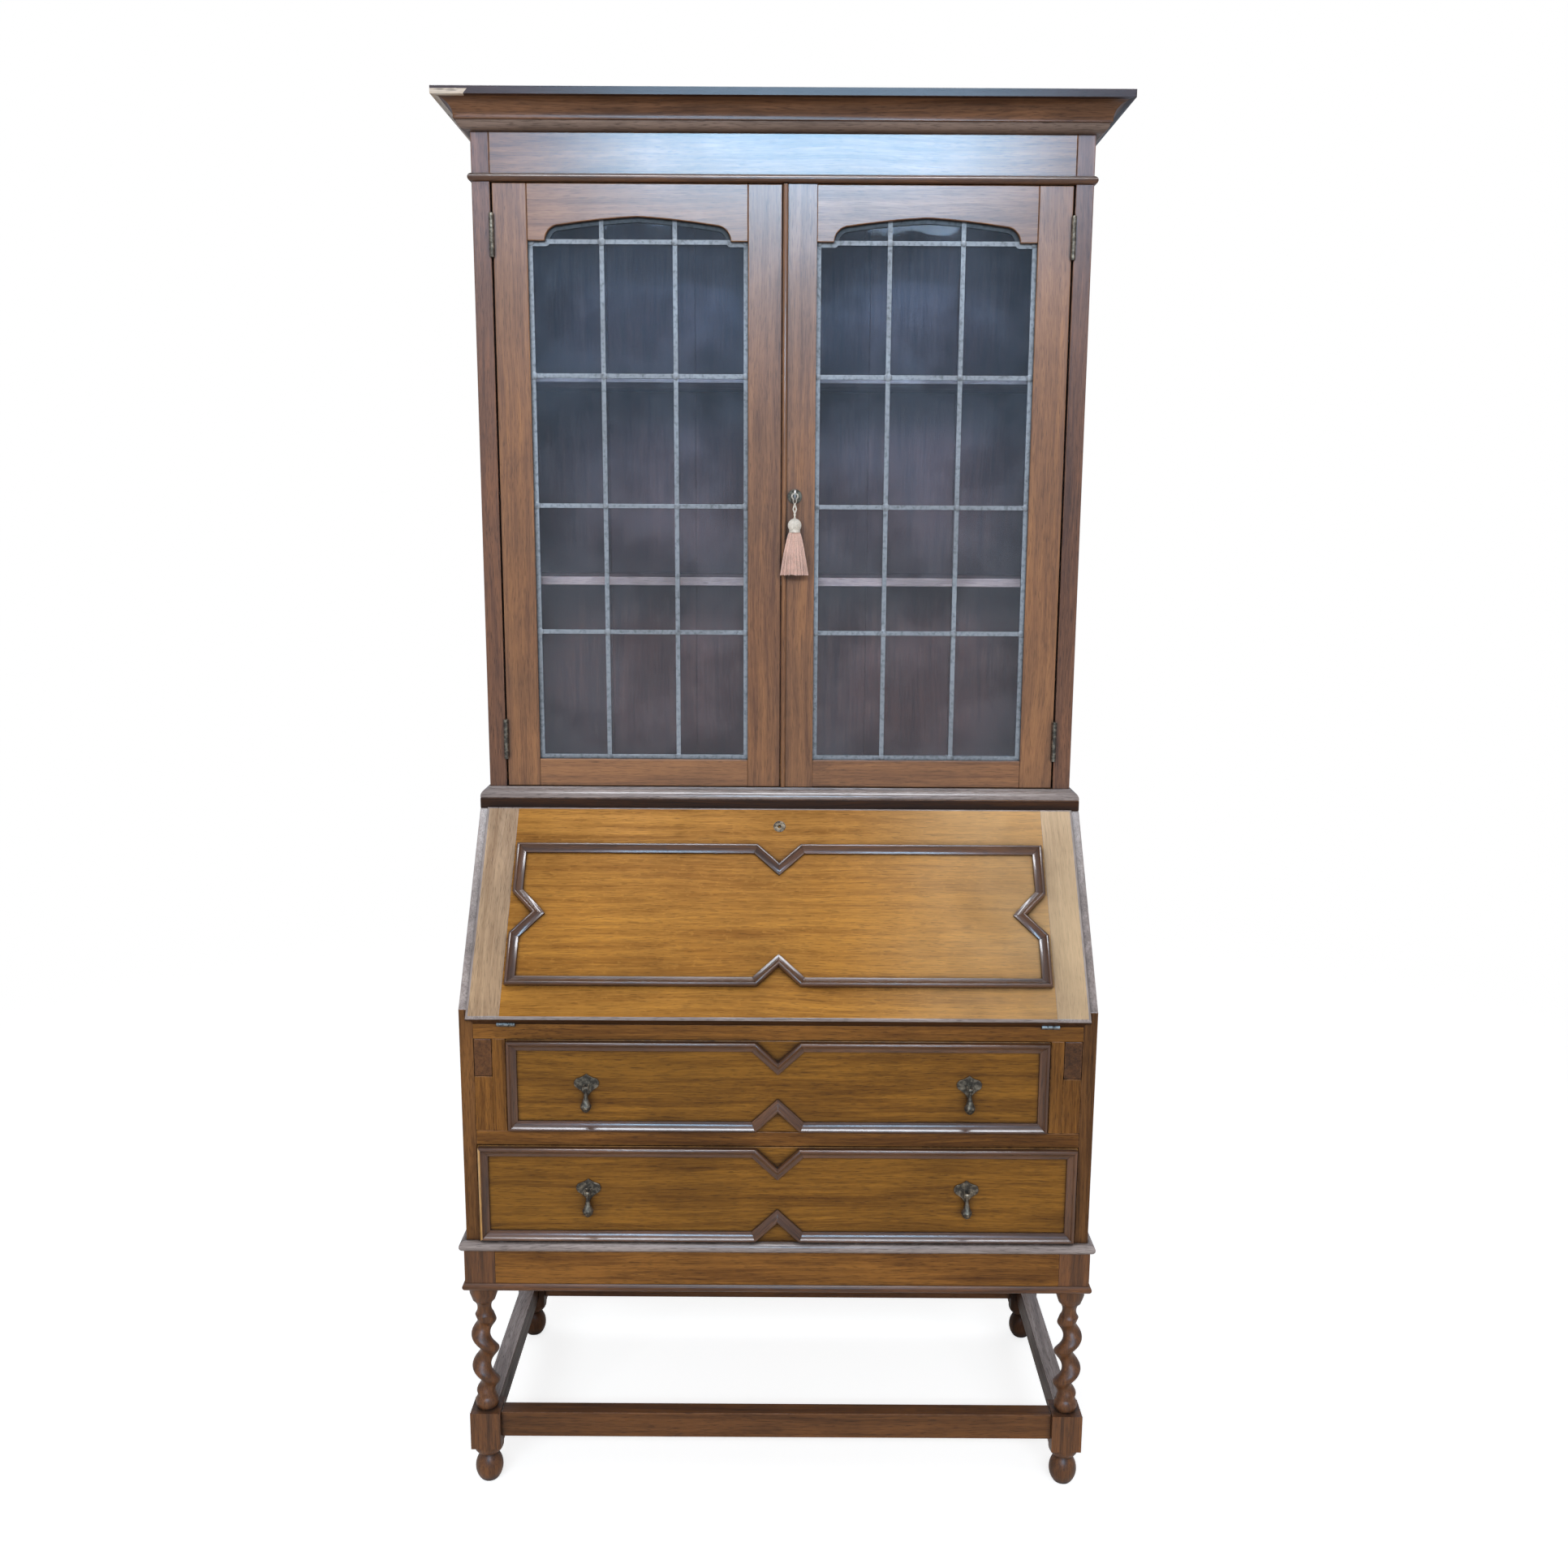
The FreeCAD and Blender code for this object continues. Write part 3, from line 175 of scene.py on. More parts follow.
def oak_group():
    """Oak grain on a board's own axes: broad figure, streaks, pores and ray flecks."""
    tree, given, result = empty_group(
        "oak_grain",
        [("Dark", "c"), ("Light", "c"), ("Contrast", "f"), ("Pores", "f"), ("Flecks", "f")],
        [("Color", "c"), ("Roughness", "f"), ("Height", "f")],
    )
    place = step(tree, "ShaderNodeAttribute", attribute_name=GRAIN)["Vector"]
    tone = step(tree, "ShaderNodeAttribute", attribute_name=TONE)["Fac"]
    slow = drawn_out(tree, place, 0.4)
    wander = step(tree, "ShaderNodeTexNoise", {"Vector": slow, "Scale": 7.0, "Detail": 1.0})["Color"]
    drift = step(tree, "ShaderNodeVectorMath", {0: wander, 1: (0.0, 0.024, 0.024)}, operation="MULTIPLY")
    bent = step(tree, "ShaderNodeVectorMath", {0: place, 1: drift[0]}, operation="ADD")[0]
    figure = mottle(tree, drawn_out(tree, bent, 0.12), 11.0, 2.0)
    streak = mottle(tree, drawn_out(tree, bent, 0.035), 95.0, 4.0, 0.7)
    thread = mottle(tree, drawn_out(tree, bent, 0.03), 430.0, 2.0)
    pore = mottle(tree, drawn_out(tree, bent, 0.045), 1150.0, 1.0)
    fleck = mottle(tree, drawn_out(tree, place, 0.5), 210.0, 1.0)
    mixed = sums(tree, "ADD", times(tree, figure, 0.3), times(tree, streak, 0.7))
    mixed = sums(tree, "ADD", mixed, times(tree, sums(tree, "SUBTRACT", thread, 0.5), 0.3))
    mixed = sums(tree, "ADD", mixed, times(tree, sums(tree, "SUBTRACT", tone, 0.5), 0.1))
    spread = times(tree, sums(tree, "SUBTRACT", mixed, 0.5), given["Contrast"])
    share = ramped(tree, sums(tree, "ADD", spread, 0.5), 0.1, 0.9)
    colour = blend_colour(tree, share, given["Dark"], given["Light"])
    holes = times(tree, ramped(tree, pore, 0.54, 0.68), given["Pores"])
    colour = blend_colour(tree, holes, colour, (0.018, 0.009, 0.005, 1))
    rays = times(tree, ramped(tree, fleck, 0.6, 0.72), given["Flecks"])
    feed(tree, result, {
        "Color": blend_colour(tree, rays, colour, given["Light"]),
        "Roughness": ramped(tree, streak, 0.25, 0.75, 0.46, 0.3),
        "Height": sums(tree, "SUBTRACT", times(tree, streak, 0.5), holes),
    })


def age_and_shade_group():
    """Age on a finish: grime and painted shade in the corners, handling wear on the rounded edges and dull
    patches.
    """
    tree, given, result = empty_group(
        "years_of_use",
        [("Color", "c"), ("Grime", "c"), ("Wear", "c"), ("Grime Amount", "f"), ("Wear Amount", "f"),
         ("Reach", "f"), ("Roughness", "f")],
        [("Color", "c"), ("Roughness", "f")],
    )
    place = own_place(tree)
    patches = mottle(tree, place, 6.5, 3.0, 0.6)
    specks = mottle(tree, place, 70.0, 4.0, 0.7)
    # Corners darken by how closed in they are: grime, and painted shade where shade would fall.
    nook = step(tree, "ShaderNodeAmbientOcclusion", {"Distance": given["Reach"]}, samples=6)["AO"]
    closed = times(tree, ramped(tree, nook, 0.35, 0.95, 1.0, 0.0), given["Grime Amount"])
    closed = times(tree, closed, ramped(tree, specks, 0.2, 0.6, 0.65, 1.0))
    dull = ramped(tree, patches, 0.3, 0.72, 0.84, 1.1)
    grey = step(tree, "ShaderNodeCombineColor", {0: dull, 1: dull, 2: dull})[0]
    colour = blend_colour(tree, 1.0, given["Color"], grey, "MULTIPLY")
    colour = blend_colour(tree, closed, colour, given["Grime"])
    edge = step(tree, "ShaderNodeAttribute", attribute_name=EDGE)["Fac"]
    rubbed = times(tree, edge, ramped(tree, specks, 0.38, 0.62))
    rubbed = times(tree, rubbed, given["Wear Amount"])
    rough = sums(tree, "ADD", given["Roughness"], ramped(tree, patches, 0.3, 0.7, 0.1, -0.05))
    feed(tree, result, {
        "Color": blend_colour(tree, rubbed, colour, given["Wear"]),
        "Roughness": sums(tree, "ADD", rough, times(tree, closed, 0.3)),
    })


def right_sheen_group():
    """A painted sheen: the wood pales unevenly towards the right."""
    tree, given, result = empty_group(
        "sun_fading",
        [("Color", "c"), ("Pale", "c"), ("Start", "f"), ("End", "f"), ("Amount", "f")],
        [("Color", "c")],
    )
    place = own_place(tree)
    across = step(tree, "ShaderNodeSeparateXYZ", {0: place})["X"]
    uneven = ramped(tree, mottle(tree, place, 5.0, 3.0), 0.3, 0.7, 0.6, 1.0)
    share = ramped(tree, across, given["Start"], given["End"])
    share = times(tree, times(tree, share, uneven), given["Amount"])
    feed(tree, result, {"Color": blend_colour(tree, share, given["Color"], given["Pale"])})


# Meshes


def solids_of(node):
    """A CAD node's solids, each as its points and its triangles. A solid ends where its surface closes."""
    mesh = frame["nodes"][node].data
    spots = {}
    corners = []
    for vertex in mesh.vertices:
        spot = tuple(round(part / MERGE) for part in vertex.co)
        corners.append(spots.setdefault(spot, (len(spots), vertex.co.copy()))[0])
    places = [place for _, place in spots.values()]
    open_edges = set()
    used = {}
    solid = []
    for polygon in mesh.polygons:
        face = [corners[index] for index in polygon.vertices]
        if len(set(face)) < 3:
            continue
        solid.append([used.setdefault(corner, len(used)) for corner in face])
        open_edges ^= {tuple(sorted(edge)) for edge in zip(face, face[1:] + face[:1])}
        if not open_edges:
            yield [places[corner] for corner in used], solid
            used = {}
            solid = []
    if solid:
        raise RuntimeError(f"{node} has a surface that doesn't close")


def islands_of(mesh):
    """The faces of a mesh, in lists that hang together."""
    left = set(mesh.faces)
    for face in list(mesh.faces):
        if face not in left:
            continue
        left.discard(face)
        reached = [face]
        for one in reached:
            for edge in one.edges:
                for other in edge.link_faces:
                    if other in left:
                        left.discard(other)
                        reached.append(other)
        yield reached


def round_edges(mesh, rounding, segments):
    """Rounds the sharp edges of each solid, and marks the rounded faces as the ones that wear."""
    worn = mesh.faces.layers.float.new(EDGE)
    for faces in list(islands_of(mesh)):
        edges = {edge for face in faces for edge in face.edges}
        edges = [edge for edge in edges if edge.is_manifold and edge.calc_face_angle(0.0) > SHARP]
        edges.sort(key=lambda edge: edge.index)
        if not edges:
            continue
        bmesh.ops.bevel(
            mesh, geom=edges, offset=rounding, offset_type="OFFSET", segments=segments, profile=0.5,
            affect="EDGES", clamp_overlap=True, material=-1,
        )
    widths = {face: face.calc_area() / max(edge.calc_length() for edge in face.edges) for face in mesh.faces}
    for face, width in widths.items():
        beside = [other for edge in face.edges for other in edge.link_faces]
        wide = max(widths[other] for other in beside)
        face[worn] = float(width < 1.1 * rounding and wide > 4 * rounding)
        face.smooth = True
    for edge in mesh.edges:
        turned = {face[worn] for face in edge.link_faces}
        edge.smooth = len(turned) == 1 and edge.calc_face_angle(0.0) < SHARP


def set_grain(mesh, name, along=None):
    """Gives each solid its own grain: its length first, its width, its depth, and a start of its own."""
    grain = mesh.verts.layers.float_vector.new(GRAIN)
    tone = mesh.faces.layers.float.new(TONE)
    for number, faces in enumerate(list(islands_of(mesh))):
        draw = random.Random(f"{name} {number}")
        edges = {edge for face in faces for edge in face.edges if edge.calc_face_angle(0.0) > FLAT} or {
            edge for face in faces for edge in face.edges
        }
        longest = max(edges, key=lambda edge: (round(edge.calc_length(), 6), -edge.index))
        length = along or (longest.verts[1].co - longest.verts[0].co).normalized()
        broad = max(faces, key=lambda face: (round(face.calc_area(), 9), -face.index)).normal
        depth = (broad - length * broad.dot(length)).normalized()
        if depth.length < 0.5:
            depth = length.orthogonal().normalized()
        width = depth.cross(length)
        start = Vector((draw.uniform(0, 9), draw.uniform(0, 9), draw.uniform(0, 9)))
        shade_of_board = draw.random()
        for face in faces:
            face[tone] = shade_of_board
            for vertex in face.verts:
                place = vertex.co
                vertex[grain] = start + Vector((place.dot(length), place.dot(width), place.dot(depth)))


def merged_copy(node):
    """A CAD node's solids as one mesh, with their triangles joined to whole faces."""
    mesh = bmesh.new()
    for points, faces in solids_of(node):
        made = [mesh.verts.new(point) for point in points]
        for face in faces:
            mesh.faces.new([made[index] for index in face])
    mesh.normal_update()
    bmesh.ops.dissolve_limit(mesh, angle_limit=FLAT, verts=mesh.verts, edges=mesh.edges)
    mesh.edges.index_update()
    mesh.faces.index_update()
    return mesh


def joined(meshes):
    """Several meshes as one."""
    whole = bmesh.new()
    for mesh in meshes:
        made = {vertex: whole.verts.new(vertex.co) for vertex in mesh.verts}
        for face in mesh.faces:
            whole.faces.new([made[vertex] for vertex in face.verts])
        mesh.free()
    bmesh.ops.recalc_face_normals(whole, faces=whole.faces)
    for face in whole.faces:
        face.smooth = True
    return whole


def scored(mesh, place, way, **cleared):
    """Cuts a mesh's faces along a plane, and keeps both sides or clears one."""
    bmesh.ops.bisect_plane(
        mesh, geom=[*mesh.verts, *mesh.edges, *mesh.faces], dist=CUT, plane_co=place, plane_no=way, **cleared
    )


def parted(mesh, across):
    """A mesh sawn into its middle and two ends, each closed again."""
    parts = []
    far = 10 * across
    for low, high in ((-far, -across), (-across, across), (across, far)):
        part = mesh.copy()
        for place, way in ((low, 1), (high, -1)):
            scored(part, (place, 0, 0), (way, 0, 0), clear_inner=True)
        bmesh.ops.holes_fill(part, edges=[edge for edge in part.edges if edge.is_boundary])
        parts.append(part)
    mesh.free()
    return joined(parts)


def skinned(mesh, rings):
    """Lays faces between rings of points, and closes the first and the last."""
    for one, two in zip(rings, rings[1:]):
        for here in range(len(one)):
            after = (here + 1) % len(one)
            mesh.faces.new((one[here], two[here], two[after], one[after]))
    mesh.faces.new(rings[0])
    mesh.faces.new(reversed(rings[-1]))
    return mesh


def wound(profile, ridges, depth, turns, centre, sides=5):
    """A turned form wound with thread: a profile of radius and height, ridged round its axis."""
    mesh = bmesh.new()
    around = ridges * sides
    rings = []
    top = profile[0][1]
    tall = top - profile[-1][1]
    for radius, height in profile:
        lean = turns * math.tau * (top - height) / tall
        ring = []
        for step_round in range(around):
            angle = math.tau * step_round / around + lean
            ridge = abs(math.sin(math.pi * step_round / sides))
            reach = radius - depth * (1 - ridge)
            place = Vector((reach * math.cos(angle), reach * math.sin(angle), height))
            ring.append(mesh.verts.new(centre + place))
        rings.append(ring)
    return skinned(mesh, rings)


def tube(points, radius, sides=10):
    """A round cord along some points, closed at its ends."""
    mesh = bmesh.new()
    rings = []
    turns = [math.tau * side / sides for side in range(sides)]
    for index, point in enumerate(points):
        before = points[max(index - 1, 0)]
        after = points[min(index + 1, len(points) - 1)]
        run = (after - before).normalized()
        across = run.cross(Vector((0, 1, 0))).normalized()
        over = run.cross(across)
        rings.append([
            mesh.verts.new(point + radius * (across * math.cos(turn) + over * math.sin(turn)))
            for turn in turns
        ])
    return skinned(mesh, rings)


def new_object(name, data):
    """A new object of the scene."""
    made = bpy.data.objects.new(name, data)
    bpy.context.scene.collection.objects.link(made)
    return made


def finished(mesh, name, finish, node, replaces=True):
    """A mesh as a piece of the object, with its finish and with the body of a CAD node."""
    made = bpy.data.meshes.new(name)
    mesh.to_mesh(made)
    mesh.free()
    made.materials.append(bpy.data.materials[finish])
    piece = new_object(name, made)
    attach(piece, BODY_OF[node])
    if replaces:
        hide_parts(node)
    return piece


def dressed(node, ending, finish, rounding, segments=2, along=None, cuts=(), mesh=None):
    """A CAD node, or a mesh made of it, with rounded edges and its grain, in place of the node itself."""
    if mesh is None:
        mesh = merged_copy(node)
    for place, way in cuts:
        scored(mesh, place, way)
    round_edges(mesh, rounding, segments)
    set_grain(mesh, node, along)
    return finished(mesh, f"{node}_{ending}", finish, node)


def second_finish(piece, finish, chosen):
    """Gives some faces of a piece another finish."""
    piece.data.materials.append(bpy.data.materials[finish])
    for face in piece.data.polygons:
        if chosen(face):
            face.material_index = len(piece.data.materials) - 1


def in_slot(slot):
    """The CAD nodes of a material slot."""
    return [node for node, own in SLOT_OF.items() if own == slot]


# Sizes and colours


def shade(name, description, colour):
    """A colour that a user may change."""
    return bpy.props.FloatVectorProperty(
        name=name, description=description, default=colour, subtype="COLOR", size=3, min=0.0, max=1.0
    )


def span(name, description, default):
    """A length that a user may change."""
    return bpy.props.FloatProperty(
        name=name, description=description, default=default, min=0.0, unit="LENGTH"
    )


def power(name, description, default):
    """The power of a light that a user may change."""
    return bpy.props.FloatProperty(name=name, description=description, default=default, unit="POWER")


def factor(name, description, default):
    """A share that a user may change."""
    return bpy.props.FloatProperty(
        name=name, description=description, default=default, subtype="FACTOR"
    )


def turn_by(name, description, degrees):
    """An angle that a user may change."""
    return bpy.props.FloatProperty(
        name=name, description=description, default=math.radians(degrees), unit="ROTATION"
    )


# Woods: where they are, and the colours of their dark and their light grain
WOODS = {
    "fall": ("the fall", (0.270, 0.105, 0.018), (0.620, 0.285, 0.052)),
    "drawer": ("the drawer fronts", (0.095, 0.034, 0.005), (0.345, 0.150, 0.021)),
    # The doors' colour is slightly bluer, partly a painted sheen.
    "door": ("the doors", (0.148, 0.062, 0.030), (0.415, 0.192, 0.080)),
    "side": ("the bookcase sides", (0.090, 0.038, 0.022), (0.270, 0.118, 0.058)),
    "moulding": ("the mouldings", (0.055, 0.022, 0.010), (0.185, 0.076, 0.030)),
    "stand": ("the stand", (0.070, 0.026, 0.008), (0.265, 0.098, 0.028)),
    "rail": ("the stretchers", (0.050, 0.019, 0.006), (0.180, 0.070, 0.021)),
    "shaded": ("the rear legs", (0.026, 0.011, 0.005), (0.095, 0.037, 0.014)),
    "carcase": ("the carcase", (0.104, 0.038, 0.009), (0.325, 0.134, 0.027)),
    "flank": ("the bureau sides", (0.075, 0.030, 0.010), (0.235, 0.100, 0.030)),
    "inside": ("the inside", (0.030, 0.013, 0.010), (0.100, 0.042, 0.030)),
    "case": ("the bookcase's back and shelves", (0.033, 0.015, 0.012), (0.112, 0.049, 0.037)),
    # The ends of the fall are their own boards, paler partly by a painted sheen.
    "cleat": ("the ends of the fall", (0.335, 0.200, 0.110), (0.570, 0.385, 0.235)),
    "cornice": ("the cornice", (0.085, 0.038, 0.019), (0.260, 0.120, 0.058)),
    "fillet": ("the cornice's fillet", (0.030, 0.013, 0.010), (0.055, 0.022, 0.010)),
    "chip": ("the cornice's chip", (0.620, 0.430, 0.250), (0.800, 0.720, 0.650)),
    # Pale ledges: dust and rubbing, and a painted sheen of the sky on them.
    "ledge": ("the pale ledges", (0.215, 0.164, 0.150), (0.525, 0.440, 0.412)),
    # Painted light: shelf front edges paler as lit faces, and the cornice's lowest member paler as its
    # sheen.
    "shelf": ("the shelf edges", (0.190, 0.132, 0.106), (0.320, 0.224, 0.180)),
    "bare": ("the rubbed end", (0.620, 0.285, 0.052), (0.620, 0.430, 0.250)),
}


class BureauTimber(bpy.types.PropertyGroup):
    """Colours and edges of the oak."""

    # Painted sheen on the fall and its cleats: they pale to this colour towards their right.
    sheen_pale: shade("Faded wood", "Wood of the fall that daylight has bleached", (0.820, 0.600, 0.360))
    # Colour of the corners: old wax and dirt, and painted shade where they are closed in.
    grime_and_shade: shade("Grime", "Old wax and dirt in the corners", (0.014, 0.008, 0.006))
    cleat: span("Cleat", "Middle of the fall to the cleats at its ends", 0.397)
    # Where the painted sheen on the fall starts and where it is full.
    sheen_start: span("Fade start", "Middle of the fall to where its fading starts", 0.05)
    sheen_end: span("Fade end", "Middle of the fall to where its fading is full", 0.40)
    ovolo: span("Ovolo", "Height of the cornice's lowest member", 0.012)
    fillet: span("Fillet", "Height of the cornice's top fillet with its edge", 0.0115)
    lip: span("Lip", "Height of the fillet's top that the chip leaves whole", 0.004)
    chip_length: span("Chip length", "Length of the chip at the left end of the cornice", 0.046)
    rubbed_end: span("Rubbed end", "Width of the bare wood at the left of the lower drawer", 0.004)
    board_edge: span("Board edge", "Rounding of the board edges", 0.0012)
    moulding_edge: span("Moulding edge", "Rounding of the moulding edges", 0.0005)


for wood, (where, *grains) in WOODS.items():
    for kind, colour in zip(("dark", "light"), grains):
        BureauTimber.__annotations__[f"{wood}_{kind}"] = shade(
            f"{wood.title()} {kind}", f"{kind.title()} grain of {where}", colour
        )


class BureauFittings(bpy.types.PropertyGroup):
    """Metal, lead and glass."""

    brass: shade("Brass", "Darkened brass of hinges and pulls", (0.340, 0.265, 0.185))
    brass_dark: shade("Brass tarnish", "Tarnish on the brass", (0.085, 0.066, 0.050))
    steel: shade("Steel", "Worn steel of the key and bolt", (0.42, 0.40, 0.37))
    lead: shade("Lead", "Lead cames", (0.290, 0.305, 0.330))
    lead_dark: shade("Lead shade", "Dull spots on the lead", (0.130, 0.140, 0.155))
    glass: shade("Glass", "Tint of the panes", (0.860, 0.880, 0.960))
    # Painted reflection: the upper panes are tinted bluer, as by the sky mirrored in them.
    glass_sky_tint: shade("Glass high", "Tint of the upper panes", (0.630, 0.785, 1.000))
    metal_edge: span("Metal edge", "Rounding of the metal edges", 0.0004)
    came: span("Came", "Width of the lead cames", 0.0065)
    arch: span("Arch", "Rise of the leadwork above its top row of joints", 0.0335)
    lead_edge: span("Lead edge", "Rounding of the cames", 0.0014)
    solder: span("Solder", "Radius of a solder joint", 0.0052)
    solder_rise: span("Solder rise", "Height of a solder joint", 0.0012)


class BureauTassel(bpy.types.PropertyGroup):
    """The tassel on the key."""

    cream: shade("Cream", "Cord and head", (0.930, 0.840, 0.730))
    salmon: shade("Salmon", "Skirt threads", (0.960, 0.620, 0.510))
    threads: bpy.props.IntProperty(name="Threads", description="Threads in the skirt", default=230, min=20)
    thread: span("Thread", "Radius of a skirt thread", 0.00062)
    strand: span("Strand", "Radius of the doubled cord's strands", 0.00115)
    twist: span("Twist", "How far the strands wind round each other", 0.0013)
    ring: span("Ring", "Radius of the cord round the key", 0.0042)
    room: span("Room", "Top of the cord to the top of its CAD solid", 0.0015)
    drop: span("Drop", "Key to the top of the head", 0.032)
    head: span("Head", "Radius of the head", 0.01)
    neck: span("Neck", "Radius of the skirt at its tie", 0.0066)
    flare: factor("Flare", "Hem against the width of the CAD solid", 1.1)
    flatness: factor("Flatness", "Depth of the skirt against its width", 0.54)
    waist: span("Waist", "Radius of the band that ties the skirt", 0.0078)
    winding: span("Winding", "Height of a turn of thread on the band", 0.0005)


class BureauStage(bpy.types.PropertyGroup):
    """Camera, floor and light."""

    camera: bpy.props.FloatVectorProperty(
        name="Camera", description="Place of the camera", default=(0.0064, -2.2008, 1.449), unit="LENGTH"
    )
    pitch: turn_by("Pitch", "How far the camera looks down", 10.38)
    roll: turn_by("Roll", "Turn of the camera", 0.316)
    lens: bpy.props.FloatProperty(name="Lens", description="Focal length, mm", default=33.45, unit="CAMERA")
    window: power("Window light", "Power of the soft front light", 150.0)
    sheen: power("Sky strip", "Power of the strip of sky mirrored in the polish", 132.0)
    haze: power("Wide strip", "Power of the wider, weaker strip of sky", 39.6)
    glint: power("Roof strip", "Power of the strip overhead mirrored in the mouldings", 130.0)
    room: factor("Room light", "Light from all round", 0.42)
    dimmed: factor("Dimmed", "How much weaker the room is in its mirror image", 0.3)
    mirrored: shade("Mirrored room", "Colour of the room in its mirror image", (0.58, 0.70, 0.86))
    floor: shade("Floor", "Colour of the floor", (0.93, 0.93, 0.93))
    floor_glow: factor("Floor glow", "How far the floor is lifted to white in the picture", 0.6)


# Finishes

# Grain of narrow pieces, even and without ray flecks
QUIET = dict(contrast=1.5, flecks=0.0)
# Finishes of oak: the wood, and what differs from plain waxed oak
OAK_FINISHES = {
    # The fall's corner darkening reaches further: painted shade below the surbase and the mouldings, with
    # grime. It also takes the painted sheen.
    "fall_oak": dict(
        wood="fall", contrast=1.5, pores=0.4, flecks=0.28, dirt_and_shade=0.95, reach=0.04, gloss=0.04, coat=0.0,
        right_sheen_share=0.45,
    ),
    "cleat_oak": dict(wood="cleat", pores=0.4, flecks=0.1, gloss=0.1, coat=0.0, right_sheen_share=0.5),
    "drawer_oak": dict(wood="drawer", contrast=1.5, flecks=0.12, dirt_and_shade=0.95, reach=0.03),
    "frame_oak": dict(
        wood="door", contrast=1.4, pores=0.4, dirt_and_shade=1.0, wear=0.1, reach=0.03, gloss=0.2, coat=0.7
    ),
    "side_oak": dict(wood="side", gloss=0.2, coat=0.7),
    "frieze_oak": dict(wood="carcase", gloss=0.3, coat=1.0),
    "run_oak": dict(QUIET, wood="moulding", wear=0.5, reach=0.008, gloss=0.25, coat=0.8),
    "cornice_oak": dict(QUIET, wood="cornice", wear=0.4, reach=0.008, coat=0.25),
    "fillet_oak": dict(QUIET, wood="fillet", coat=0.3),
    "chipped_oak": dict(QUIET, wood="chip", wear=0.2, dirt_and_shade=0.3),
    "ledge_oak": dict(QUIET, wood="ledge", reach=0.008, coat=0.6),
    "shelf_oak": dict(QUIET, wood="shelf", wear=0.2),
    "bare_oak": dict(QUIET, wood="bare", wear=0.2, dirt_and_shade=0.5),
    "twist_oak": dict(wood="stand", flecks=0.0, wear=0.5, reach=0.012, coat=0.7, polish=0.42),
    "rail_oak": dict(wood="rail", flecks=0.0, wear=0.4, reach=0.012, coat=0.4),
    "shaded_oak": dict(QUIET, wood="shaded", wear=0.2),
    "apron_oak": dict(wood="carcase", contrast=2.0),
    "board_oak": dict(wood="carcase", contrast=1.8),
    "flank_oak": dict(wood="flank", contrast=1.8),
    "dark_oak": dict(wood="inside", contrast=1.8, dirt_and_shade=0.6, wear=0.2),
    # The bookcase's inside darkens far from its corners and under its shelves: painted shade, with some
    # grime.
    "case_oak": dict(wood="case", contrast=1.8, dirt_and_shade=1.0, wear=0.2, reach=0.12),
}


def dimmed(colour, share):
    """A colour at a share of its strength, and no brighter than white."""
    return [min(1.0, share * part) for part in colour]


def blank(title):
    """A new material: its tree and its shader."""
    material = bpy.data.materials.new(title)
    material.use_nodes = True
    return material.node_tree, material.node_tree.nodes["Principled BSDF"]


def oak_finish(
    title, oak, wood, contrast=1.7, pores=0.5, flecks=0.08, dirt_and_shade=0.8, wear=0.35, reach=0.016,
    gloss=0.12, coat=0.1, polish=0.22, right_sheen_share=0.0,
):
    """Waxed oak: grain, age with painted shade in its corners, a soft polish, and where given a painted
    sheen to the right.
    """
    tree, shader = blank(title)
    dark = getattr(oak, f"{wood}_dark")
    light = getattr(oak, f"{wood}_light")
    grain = placed(tree, "oak_grain", {
        "Dark": (*dark, 1), "Light": (*light, 1), "Contrast": contrast, "Pores": pores, "Flecks": flecks,
    })
    colour = grain["Color"]
    # Painted sheen: the colour pales towards the right.
    if right_sheen_share:
        colour = placed(tree, "sun_fading", {
            "Color": colour, "Pale": (*oak.sheen_pale, 1), "Start": oak.sheen_start, "End": oak.sheen_end,
            "Amount": right_sheen_share,
        })["Color"]
    rubbed = [min(1.0, 1.25 * part + 0.03) for part in light]
    # Painted shade and grime darken the corners, and handling wear lightens the edges.
    aged = placed(tree, "years_of_use", {
        "Color": colour, "Roughness": grain["Roughness"], "Grime": (*oak.grime_and_shade, 1), "Wear": (*rubbed, 1),
        "Grime Amount": dirt_and_shade, "Wear Amount": wear, "Reach": reach,
    })
    feed(tree, shader, {
        "Base Color": aged["Color"], "Roughness": aged["Roughness"],
        "Normal": bumped(tree, grain["Height"], 0.3, 0.0005),
        "Specular IOR Level": gloss, "Coat Weight": coat, "Coat Roughness": polish,
    })


def metal_finish(title, bright, dark, share, rough, metallic=1.0):
    """Old metal: tarnish in patches and in the corners, and a rubbed edge."""
    tree, shader = blank(title)
    place = own_place(tree)
    spots = ramped(tree, mottle(tree, place, 160.0, 4.0, 0.65), share - 0.16, share + 0.16)
    aged = placed(tree, "years_of_use", {
        "Color": blend_colour(tree, spots, (*dark, 1), (*bright, 1)),
        "Roughness": ramped(tree, spots, 0.0, 1.0, rough + 0.14, rough),
        "Grime": (*dimmed(dark, 0.35), 1), "Wear": (*dimmed(bright, 1.5), 1),
        "Grime Amount": 0.7, "Wear Amount": 0.5, "Reach": 0.004,
    })
    feed(tree, shader, {
        "Base Color": aged["Color"], "Roughness": aged["Roughness"], "Metallic": metallic,
        "Normal": bumped(tree, mottle(tree, place, 900.0, 2.0), 0.18, 0.0003),
    })


def lead_finish(title, bright, dark):
    """Dull lead: pale oxide, darker along its edges."""
    metal_finish(title, bright, dark, 0.42, 0.55, 0.15)


